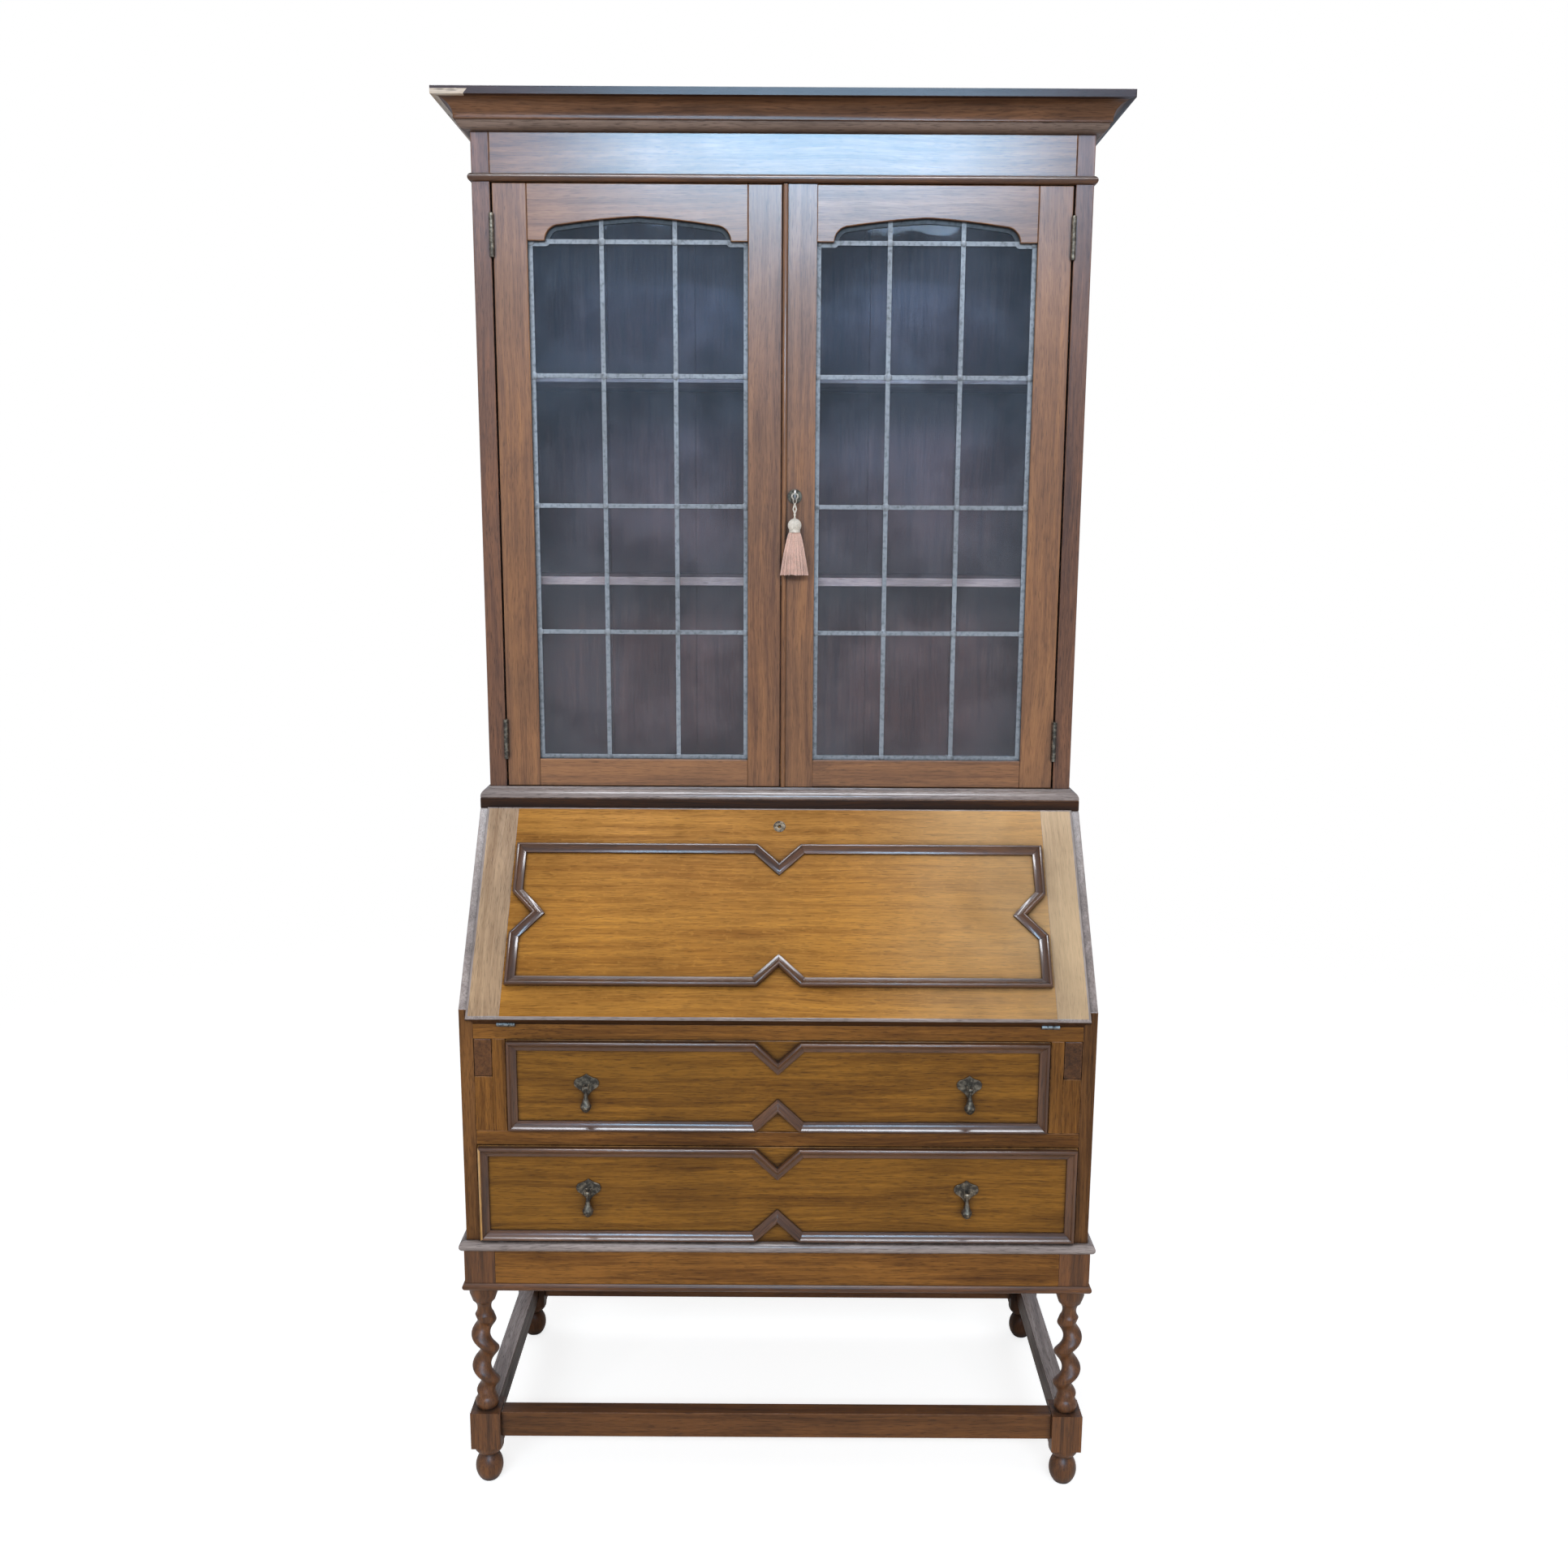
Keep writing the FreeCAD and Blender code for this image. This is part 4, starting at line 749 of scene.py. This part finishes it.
def glass_finish(title, tint, sky_tint, low=1.2, high=1.75, clear=0.85):
    """Old drawn glass, wavy and cloudy, with a painted sky reflection: bluer between two heights; its shadow
    is clear.
    """
    tree, shader = blank(title)
    place = own_place(tree)
    height = step(tree, "ShaderNodeSeparateXYZ", {0: place})["Z"]
    # Painted reflection: the tint turns towards the sky's blue higher up.
    sky = blend_colour(tree, ramped(tree, height, low, high), (*tint, 1), (*sky_tint, 1))
    clouds = ramped(tree, mottle(tree, place, 8.0, 4.0), 0.36, 0.62, 0.70, 1.0)
    shadow = step(tree, "ShaderNodeLightPath")["Is Shadow Ray"]
    feed(tree, shader, {
        "Base Color": blend_colour(tree, clouds, (0, 0, 0, 1), sky),
        "Roughness": ramped(tree, mottle(tree, place, 24.0, 4.0, 0.7), 0.35, 0.75, 0.01, 0.04),
        "Normal": bumped(tree, mottle(tree, place, 9.0, 1.0), 0.25, 0.004),
        "Alpha": sums(tree, "SUBTRACT", 1.0, times(tree, shadow, clear)),
        "Transmission Weight": 0.979, "IOR": 1.35,
    })


def thread_finish(title, colour, dark):
    """Silk thread: soft colour from thread to thread, with a sheen."""
    tree, shader = blank(title)
    place = own_place(tree)
    fine = mottle(tree, place, 620.0, 2.0)
    broad = mottle(tree, place, 70.0, 2.0)
    share = ramped(tree, sums(tree, "ADD", times(tree, fine, 0.6), times(tree, broad, 0.4)), 0.3, 0.7)
    feed(tree, shader, {
        "Base Color": blend_colour(tree, share, (*dark, 1), (*colour, 1)),
        "Roughness": ramped(tree, broad, 0.3, 0.7, 0.7, 0.5),
        "Normal": bumped(tree, fine, 0.4, 0.0004),
        "Sheen Weight": 0.4, "Sheen Roughness": 0.4,
    })


# Geometry Nodes

# Turn from thread to thread that spreads them evenly round the skirt
EVEN_TURN = 2.39996


def shape_tree(title, inputs):
    """An empty Geometry Nodes tree that takes a mesh and sizes."""
    whole = ("Geometry", "g")
    return empty_group(title, [whole, *inputs], [whole], "GeometryNodeTree")


def ended(tree, instances, given, result):
    """The end of each tree: real meshes, smooth and in their finish."""
    real = step(tree, "GeometryNodeRealizeInstances", {"Geometry": instances})[0]
    smooth = step(tree, "GeometryNodeSetShadeSmooth", {"Geometry": real})[0]
    last = step(tree, "GeometryNodeSetMaterial", {"Geometry": smooth, "Material": given["Material"]})
    feed(tree, result, {0: last[0]})


def solder_tree():
    """A flat blob of solder on each point of a mesh, each a little different."""
    tree, given, result = shape_tree(
        "solder_joints", [("Radius", "f"), ("Height", "f"), ("Seed", "i"), ("Material", "m")]
    )
    points = step(tree, "GeometryNodeMeshToPoints", {"Mesh": given["Geometry"]})[0]
    blob = step(tree, "GeometryNodeMeshUVSphere", {"Segments": 12, "Rings": 8, "Radius": 1.0})[0]
    uneven = step(tree, "FunctionNodeRandomValue", {2: 0.8, 3: 1.15, "Seed": given["Seed"]})[1]
    wide = times(tree, given["Radius"], uneven)
    scale = step(tree, "ShaderNodeCombineXYZ", {0: wide, 1: given["Height"], 2: wide})[0]
    laid = step(tree, "GeometryNodeInstanceOnPoints", {"Points": points, "Instance": blob, "Scale": scale})
    ended(tree, laid[0], given, result)
    return tree


def skirt_tree():
    """The skirt of a tassel: threads that hang from its neck and flare to a flat hem."""
    tree, given, result = shape_tree("tassel_skirt", [
        ("Threads", "i"), ("Thread", "f"), ("Neck", "f"), ("Hem", "f"), ("Length", "f"), ("Flatness", "f"),
        ("Seed", "i"), ("Material", "m"),
    ])
    line = step(tree, "GeometryNodeCurvePrimitiveLine", {"End": (0, 0, -1)})[0]
    line = step(tree, "GeometryNodeResampleCurve", {"Curve": line, "Count": 10})[0]
    down = step(tree, "GeometryNodeSplineParameter")["Factor"]
    flare = sums(tree, "POWER", down, 0.72)
    reach = times(tree, flare, sums(tree, "SUBTRACT", given["Hem"], given["Neck"]))
    out = sums(tree, "ADD", reach, given["Neck"])
    fall = times(tree, times(tree, down, given["Length"]), -1.0)
    curl = times(tree, sums(tree, "SINE", times(tree, down, 9.0), 0.0), 0.0005)
    place = step(tree, "ShaderNodeCombineXYZ", {0: out, 1: curl, 2: fall})[0]
    line = step(tree, "GeometryNodeSetPosition", {"Geometry": line, "Position": place})[0]
    ring = step(tree, "GeometryNodeCurvePrimitiveCircle", {"Resolution": 5, "Radius": given["Thread"]})
    thread = step(tree, "GeometryNodeCurveToMesh", {
        "Curve": line, "Profile Curve": ring[0], "Fill Caps": True,
    })[0]
    starts = step(tree, "GeometryNodePoints", {"Count": given["Threads"]})[0]
    number = step(tree, "GeometryNodeInputIndex")[0]
    spin = step(tree, "ShaderNodeCombineXYZ", {2: times(tree, number, EVEN_TURN)})[0]
    near = step(tree, "FunctionNodeRandomValue", {2: 0.15, 3: 1.0, "Seed": given["Seed"]})[1]
    near = sums(tree, "POWER", near, 0.4)
    longer = step(tree, "FunctionNodeRandomValue", {2: 0.965, 3: 1.0, "Seed": given["Seed"]})[1]
    scale = step(tree, "ShaderNodeCombineXYZ", {0: near, 1: near, 2: longer})[0]
    hung = step(tree, "GeometryNodeInstanceOnPoints", {
        "Points": starts, "Instance": thread, "Rotation": spin, "Scale": scale,
    })[0]
    flat = step(tree, "ShaderNodeCombineXYZ", {0: 1.0, 1: given["Flatness"], 2: 1.0})[0]
    real = step(tree, "GeometryNodeRealizeInstances", {"Geometry": hung})[0]
    pressed = step(tree, "GeometryNodeTransform", {"Geometry": real, "Scale": flat})[0]
    ended(tree, pressed, given, result)
    return tree


def grown(tree, points, inputs, place=(0, 0, 0)):
    """The plain mesh that a tree makes of some points, set at its place."""
    seeds = bpy.data.meshes.new("points")
    seeds.from_pydata(points, [], [])
    holder = new_object("points", seeds)
    modifier = holder.modifiers.new("shape", "NODES")
    modifier.node_group = tree
    sockets = {item.name: item.identifier for item in tree.interface.items_tree if item.in_out == "INPUT"}
    for name, value in inputs.items():
        modifier[sockets[name]] = value
    bpy.context.view_layer.update()
    graph = bpy.context.evaluated_depsgraph_get()
    made = bpy.data.meshes.new_from_object(holder.evaluated_get(graph))
    made.transform(Matrix.Translation(place))
    mesh = bmesh.new()
    mesh.from_mesh(made)
    bpy.data.objects.remove(holder)
    bpy.data.meshes.remove(made)
    bpy.data.meshes.remove(seeds)
    return mesh


# Operators

SIDES = ("left", "right")
# Least part of a face's normal along an axis: for a face square to it, a leaning one and a sloping one
FACING = 0.9
LEANING = 0.5
SLOPING = 0.2


def dress_all(nodes, ending, finish, rounding, segments=2):
    """Dresses several nodes alike."""
    for node in nodes:
        dressed(node, ending, finish, rounding, segments)


class BUREAU_OT_finishes(bpy.types.Operator):
    """Make the finishes of oak, metal, lead, glass and thread"""

    bl_idname = "bureau.finishes"
    bl_label = "Make the finishes"

    def execute(self, context):
        oak = context.scene.bureau_timber
        metal = context.scene.bureau_fittings
        silk = context.scene.bureau_tassel
        oak_group()
        age_and_shade_group()
        right_sheen_group()
        for title, looks in OAK_FINISHES.items():
            oak_finish(title, oak, **looks)
        metal_finish("tarnished_brass", metal.brass, metal.brass_dark, 0.56, 0.42)
        metal_finish("dark_brass", dimmed(metal.brass, 0.4), dimmed(metal.brass_dark, 0.5), 0.5, 0.5)
        metal_finish("worn_steel", metal.steel, metal.brass_dark, 0.44, 0.34)
        lead_finish("lead_came", metal.lead, metal.lead_dark)
        lead_finish("shaded_lead", dimmed(metal.lead, 0.2), dimmed(metal.lead_dark, 0.2))
        glass_finish("old_glass", metal.glass, metal.glass_sky_tint)
        thread_finish("cream_thread", silk.cream, dimmed(silk.cream, 0.6))
        thread_finish("salmon_thread", silk.salmon, dimmed(silk.salmon, 0.68))
        return {"FINISHED"}


class BUREAU_OT_stand(bpy.types.Operator):
    """Dress the stand: twisted legs, stretchers, aprons and their bead"""

    bl_idname = "bureau.stand"
    bl_label = "Dress the stand"

    def execute(self, context):
        oak = context.scene.bureau_timber
        for side in SIDES:
            dressed(f"leg_front_{side}", "oak", "twist_oak", oak.moulding_edge)
            dressed(f"leg_rear_{side}", "oak", "shaded_oak", oak.moulding_edge)
        rails = dressed("stretchers", "oak", "rail_oak", oak.board_edge)
        side_rail = 0.3
        inward = -0.25
        # The side stretchers' tops are pale with dust and a painted sheen, and their inward faces are in
        # painted shade.
        second_finish(rails, "ledge_oak", lambda face: (
            face.normal.z > FACING and abs(face.center.x) > side_rail
        ))
        second_finish(rails, "shaded_oak", lambda face: face.normal.x * face.center.x < inward)
        aprons = dressed("aprons", "oak", "apron_oak", oak.board_edge)
        second_finish(aprons, "shaded_oak", lambda face: face.normal.y < -LEANING and face.center.y > 0)
        dressed("apron_bead", "oak", "twist_oak", oak.moulding_edge)
        # The waist moulding is pale: rubbed and dusty, with a painted sheen.
        dressed("waist_moulding", "oak", "ledge_oak", oak.moulding_edge)
        return {"FINISHED"}


class BUREAU_OT_carcase(bpy.types.Operator):
    """Dress the boards of the bureau and of the bookcase"""

    bl_idname = "bureau.carcase"
    bl_label = "Dress the carcase"

    def execute(self, context):
        oak = context.scene.bureau_timber
        special = {"frieze_rail": "frieze_oak"}
        for side in SIDES:
            special[f"bookcase_side_{side}"] = "side_oak"
            special[f"bureau_side_{side}"] = "flank_oak"
            special[f"loper_{side}"] = "rail_oak"
        upright = {"loper_partitions": Vector((0, 0, 1))}
        for node in in_slot("carcase_oak"):
            finish = special.get(node, "board_oak")
            piece = dressed(node, "oak", finish, oak.board_edge, along=upright.get(node))
            if "bureau_side" in node:
                # The sloping front edges of the bureau sides are pale: dust and a painted sheen.
                second_finish(piece, "ledge_oak", lambda face: (
                    face.normal.y < -SLOPING and face.normal.z > SLOPING
                ))
            if node == "bureau_top":
                second_finish(piece, "shaded_oak", lambda face: face.normal.y < -FACING)
        for node in in_slot("inside_oak"):
            finish = "case_oak" if "bookcase" in node else "dark_oak"
            piece = dressed(node, "oak", finish, oak.board_edge)
            if "shelf" in node:
                # The shelves' front edges are paler: painted light on the lit face.
                second_finish(piece, "shelf_oak", lambda face: face.normal.y < -FACING)
        return {"FINISHED"}


class BUREAU_OT_mouldings(bpy.types.Operator):
    """Dress the applied mouldings, the surbase, the frieze bead and the cornice"""

    bl_idname = "bureau.mouldings"
    bl_label = "Dress the mouldings"

    def execute(self, context):
        oak = context.scene.bureau_timber
        # The surbase is pale: rubbed and dusty, with a painted sheen.
        special = {"surbase_moulding": "ledge_oak"}
        made = {
            node: dressed(node, "oak", special.get(node, "run_oak"), oak.moulding_edge)
            for node in in_slot("moulding_oak") if node != "cornice"
        }
        self.chipped_cornice(oak)
        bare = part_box("lower_drawer_mouldings")[0].x + oak.rubbed_end
        second_finish(made["lower_drawer_mouldings"], "bare_oak", lambda face: face.center.x < bare)
        return {"FINISHED"}

    def chipped_cornice(self, oak):
        """Dresses the cornice, with a chip at the left end of its top fillet."""
        low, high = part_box("cornice")
        ovolo = low.z + oak.ovolo
        fillet = high.z - oak.fillet
        lip = high.z - oak.lip
        end = low.x + oak.chip_length
        ragged = (0.8, 0, -0.6)
        cornice = dressed("cornice", "oak", "cornice_oak", oak.moulding_edge, cuts=(
            ((end, 0, fillet), ragged), ((0, 0, lip), (0, 0, 1)),
        ))
        # The cornice's lowest member is paler: a painted sheen.
        second_finish(cornice, "shelf_oak", lambda face: face.center.z < ovolo)
        second_finish(cornice, "fillet_oak", lambda face: face.center.z > fillet)
        second_finish(cornice, "chipped_oak", lambda face: (
            fillet < face.center.z < lip and face.center.x < end
        ))


class BUREAU_OT_fronts(bpy.types.Operator):
    """Dress the fall, the drawer fronts and the door frames"""

    bl_idname = "bureau.fronts"
    bl_label = "Dress the fronts"

    def execute(self, context):
        oak = context.scene.bureau_timber
        boards = parted(merged_copy("fall_panel"), oak.cleat)
        fall = dressed("fall_panel", "oak", "fall_oak", oak.moulding_edge, mesh=boards)
        front = max(fall.data.polygons, key=lambda face: face.area * (face.normal.z > 0)).normal.copy()
        flat = 0.97
        edge_on = 0.3
        # The cleats are paler partly by a painted sheen; the fall's rim is pale, rubbed and with a painted
        # sheen, and its underside is in painted shade.
        second_finish(fall, "cleat_oak", lambda face: abs(face.center.x) > oak.cleat)
        second_finish(fall, "ledge_oak", lambda face: abs(face.normal.dot(front)) < flat)
        second_finish(fall, "shaded_oak", lambda face: (
            abs(face.normal.dot(front)) < edge_on and face.normal.z < -edge_on
        ))
        dress_all(("upper_drawer_front", "lower_drawer_front"), "oak", "drawer_oak", oak.board_edge)
        dress_all(("door_left_frame", "door_right_frame"), "oak", "frame_oak", oak.board_edge)
        return {"FINISHED"}


class BUREAU_OT_glazing(bpy.types.Operator):
    """Dress the leadwork, solder its joints and glaze the doors"""

    bl_idname = "bureau.glazing"
    bl_label = "Glaze the doors"

    def execute(self, context):
        metal = context.scene.bureau_fittings
        half = metal.came / 2
        tree = solder_tree()
        for seed, side in enumerate(SIDES):
            node = f"door_{side}_leadwork"
            places = self.came_joints(node, metal.came, metal.arch)
            head = max(z for x, y, z in places) + half
            bars = sorted({x for x, y, z in places})[1:-1]
            cuts = [((0, 0, head), (0, 0, 1))]
            cuts += [((x + off, 0, 0), (1, 0, 0)) for x in bars for off in (-half, half)]
            leads = dressed(node, "lead", "lead_came", metal.lead_edge, cuts=cuts)
            second_finish(leads, "shaded_lead", lambda face: face.center.z > head and all(
                abs(face.center.x - x) > half for x in bars
            ))
            joints = grown(tree, places, {
                "Radius": metal.solder, "Height": metal.solder_rise, "Seed": seed,
                "Material": bpy.data.materials["lead_came"],
            })
            finished(joints, f"door_{side}_solder", "lead_came", node, replaces=False)
            panes = frame["nodes"][f"door_{side}_glass"].data
            panes.materials.clear()
            panes.materials.append(bpy.data.materials["old_glass"])
        return {"FINISHED"}

    def came_joints(self, node, came, arch, columns=3, rows=4):
        """The places on both faces of a leadwork where its cames cross or meet."""
        low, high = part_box(node)
        first = low.z + came
        tall = high.z - arch - first
        bars = [low.x + (high.x - low.x) * part / columns for part in range(1, columns)]
        across = [low.x + came / 2, *bars, high.x - came / 2]
        levels = [low.z + came / 2, *(first + tall * part / rows for part in range(1, rows + 1))]
        corners = (across[0], across[-1])
        return [
            (x, y, z) for y in (low.y, high.y) for x in across for z in levels
            if not (x in corners and z == levels[0])
        ]


class BUREAU_OT_fittings(bpy.types.Operator):
    """Dress the hinges, pulls, lock and key"""

    bl_idname = "bureau.fittings"
    bl_label = "Dress the fittings"

    def execute(self, context):
        edge = context.scene.bureau_fittings.metal_edge
        special = {
            "door_lock": "dark_brass", "fall_lock_plate": "dark_brass",
            # The fall's hinges take the paler steel, a painted highlight on them.
            "fall_hinge_plates": "worn_steel", "fall_hinge_leaves": "worn_steel",
        }
        for node in in_slot("aged_brass"):
            dressed(node, "brass", special.get(node, "tarnished_brass"), edge, 1)
        dress_all(in_slot("key_steel"), "steel", "worn_steel", edge, 1)
        return {"FINISHED"}


class BUREAU_OT_tassel(bpy.types.Operator):
    """Make the tassel: a doubled cord round the key, a wound head, its tie and a skirt of threads"""

    bl_idname = "bureau.tassel"
    bl_label = "Make the tassel"

    def execute(self, context):
        silk = context.scene.bureau_tassel
        low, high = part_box("tassel")
        middle = (low + high) / 2
        key = Vector((middle.x, middle.y, high.z - silk.ring - silk.room))
        head_top = key.z - silk.drop
        tie = head_top - 1.7 * silk.head
        parts = [self.cord(silk, key, head_top), *self.head(silk, key, head_top, tie)]
        finished(joined(parts), "tassel_head", "cream_thread", "tassel")
        skirt = grown(skirt_tree(), [(0, 0, 0)], {
            "Threads": silk.threads, "Thread": silk.thread, "Neck": silk.neck,
            "Hem": silk.flare * (high.x - middle.x), "Length": tie - low.z, "Flatness": silk.flatness,
            "Seed": 4, "Material": bpy.data.materials["salmon_thread"],
        }, (key.x, key.y, tie))
        finished(skirt, "tassel_skirt", "salmon_thread", "tassel")
        return {"FINISHED"}

    def cord(self, silk, key, head_top, sunk=0.002, steps=8):
        """The doubled cord: round the key, and twisted down into the head."""
        over = [math.radians(angle) for angle in range(-60, 241, 15)]
        loop = [key + silk.ring * Vector((math.cos(angle), 0, math.sin(angle))) for angle in over]
        foot = Vector((key.x, key.y, head_top - sunk))
        left = []
        right = []
        for number in range(1, steps + 1):
            part = number / steps
            turn = 4 * math.pi * part
            aside = silk.twist * Vector((math.cos(turn), -math.sin(turn), 0))
            left.append(loop[-1].lerp(foot, part) - aside)
            right.append(loop[0].lerp(foot, part) + aside)
        return tube([*reversed(right), *loop, *left], silk.strand)

    def head(self, silk, key, head_top, tie, rows=21, above=0.0025, row_height=0.0003):
        """The wound head and the band of thread that ties the skirt to it."""
        centre = Vector((key.x, key.y, 0))
        middle = head_top - silk.head
        angles = [math.radians(angle) for angle in range(8, 132, 6)]
        ball = [(silk.head * math.sin(angle), middle + silk.head * math.cos(angle)) for angle in angles]
        swell = [silk.winding * abs(math.sin(math.pi * row / 4)) for row in range(rows)]
        band = [
            (silk.waist + out, tie + above - row * row_height) for row, out in enumerate(swell)
        ]
        return wound(ball, 36, 0.0004, 0.22, centre), wound(band, 12, 0.0, 0.0, centre)


# Lights: power, place, width and height, colour, and whether they only show as a mirror image
LIGHTS = {
    "window_light": ("window", (-0.3, -4.6, 3.08), (5.0, 0.7), (0.88, 0.95, 1.0), False),
    "sky_strip": ("sheen", (0.1, -4.6, 3.13), (1.9, 0.6), (0.36, 0.70, 1.0), True),
    "wide_strip": ("haze", (0.0, -4.6, 3.13), (3.6, 0.6), (0.66, 0.68, 1.0), True),
    "roof_strip": ("glint", (0.0, -0.8, 3.4), (2.6, 0.5), (0.86, 0.92, 1.0), True),
}
LIT_PLACE = Vector((0, 0, 1.1))


class BUREAU_OT_stage(bpy.types.Operator):
    """Set the floor, the light and the camera of the photograph"""

    bl_idname = "bureau.stage"
    bl_label = "Set the stage"

    def execute(self, context):
        stage = context.scene.bureau_stage
        context.scene.view_settings.view_transform = "Standard"
        self.floor(stage)
        self.room(context, stage)
        for name, (field, place, size, colour, mirror_only) in LIGHTS.items():
            lamp = bpy.data.lights.new(name, "AREA")
            lamp.shape = "RECTANGLE"
            lamp.size, lamp.size_y = size
            lamp.energy = getattr(stage, field)
            lamp.color = colour
            light = new_object(name, lamp)
            light.location = place
            light.rotation_euler = (LIT_PLACE - light.location).to_track_quat("-Z", "Y").to_euler()
            light.visible_camera = False
            light.visible_glossy = mirror_only
            light.visible_diffuse = not mirror_only
        camera = new_object("camera", bpy.data.cameras.new("camera"))
        camera.data.lens = stage.lens
        camera.data.sensor_width = 36.0
        camera.data.clip_end = 200.0
        down = Matrix.Rotation(math.pi / 2 - stage.pitch, 4, "X")
        turn = Matrix.Rotation(stage.roll, 4, "Z")
        camera.matrix_world = Matrix.Translation(stage.camera) @ down @ turn
        context.scene.camera = camera
        return {"FINISHED"}

    def floor(self, stage, radius=6.0, near=0.9, far=3.2):
        """A pale floor that keeps the shadow and fades into the white round it."""
        tree, shader = blank("pale_floor")
        seen = step(tree, "ShaderNodeLightPath")["Is Camera Ray"]
        away = step(tree, "ShaderNodeVectorMath", {0: own_place(tree)}, operation="LENGTH")["Value"]
        feed(tree, shader, {
            "Base Color": (*stage.floor, 1), "Roughness": 0.9, "Specular IOR Level": 0.1,
            "Emission Color": (1, 1, 1, 1), "Emission Strength": times(tree, seen, stage.floor_glow),
            "Alpha": ramped(tree, away, near, far, 1.0, 0.0),
        })
        mesh = bmesh.new()
        bmesh.ops.create_circle(mesh, cap_ends=True, segments=96, radius=radius)
        made = bpy.data.meshes.new("floor")
        mesh.to_mesh(made)
        mesh.free()
        made.materials.append(bpy.data.materials["pale_floor"])
        new_object("floor", made)

    def room(self, context, stage):
        """Light from all round, white where it is seen and darker and bluer where it is mirrored."""
        world = bpy.data.worlds.new("studio")
        context.scene.world = world
        world.use_nodes = True
        tree = world.node_tree
        path = step(tree, "ShaderNodeLightPath")
        seen = sums(tree, "MAXIMUM", path["Is Camera Ray"], path["Is Transmission Ray"])
        seen = sums(tree, "MAXIMUM", seen, path["Is Glossy Ray"])
        level = step(tree, "ShaderNodeMix", {0: seen, 2: stage.room, 3: 1.0})[0]
        mirrored = sums(tree, "SUBTRACT", path["Is Glossy Ray"], path["Is Transmission Ray"])
        mirrored = sums(tree, "MAXIMUM", mirrored, 0.0)
        feed(tree, tree.nodes["Background"], {
            "Color": blend_colour(tree, mirrored, (1, 1, 1, 1), (*stage.mirrored, 1)),
            "Strength": sums(tree, "SUBTRACT", level, times(tree, mirrored, stage.dimmed)),
        })


# Panel and start

OPERATORS = (
    BUREAU_OT_finishes, BUREAU_OT_stage, BUREAU_OT_stand, BUREAU_OT_carcase, BUREAU_OT_mouldings,
    BUREAU_OT_fronts, BUREAU_OT_glazing, BUREAU_OT_fittings, BUREAU_OT_tassel,
)
GROUPS = {
    "bureau_timber": BureauTimber, "bureau_fittings": BureauFittings, "bureau_tassel": BureauTassel,
    "bureau_stage": BureauStage,
}


class BUREAU_PT_pieces(bpy.types.Panel):
    """The pieces, colours and sizes of the bureau bookcase"""

    bl_label = "Bureau Bookcase"
    bl_idname = "BUREAU_PT_pieces"
    bl_space_type = "VIEW_3D"
    bl_region_type = "UI"
    bl_category = "Bureau"

    def draw(self, context):
        for operator in OPERATORS:
            self.layout.operator(operator.bl_idname)
        for name, group in GROUPS.items():
            box = self.layout.box()
            for field in group.__annotations__:
                box.prop(getattr(context.scene, name), field)


def register():
    """Registers the property groups, the operators and the panel."""
    for name, group in GROUPS.items():
        bpy.utils.register_class(group)
        setattr(bpy.types.Scene, name, bpy.props.PointerProperty(type=group))
    for item in (*OPERATORS, BUREAU_PT_pieces):
        bpy.utils.register_class(item)


def unregister():
    """Takes them all out again."""
    for item in reversed((*OPERATORS, BUREAU_PT_pieces)):
        bpy.utils.unregister_class(item)
    for name, group in GROUPS.items():
        delattr(bpy.types.Scene, name)
        bpy.utils.unregister_class(group)


def main():
    """Dresses the frame piece by piece."""
    register()
    bpy.ops.bureau.finishes()
    bpy.ops.bureau.stage()
    bpy.ops.bureau.stand()
    bpy.ops.bureau.carcase()
    bpy.ops.bureau.mouldings()
    bpy.ops.bureau.fronts()
    bpy.ops.bureau.glazing()
    bpy.ops.bureau.fittings()
    bpy.ops.bureau.tassel()


if __name__ == "__main__":
    main()
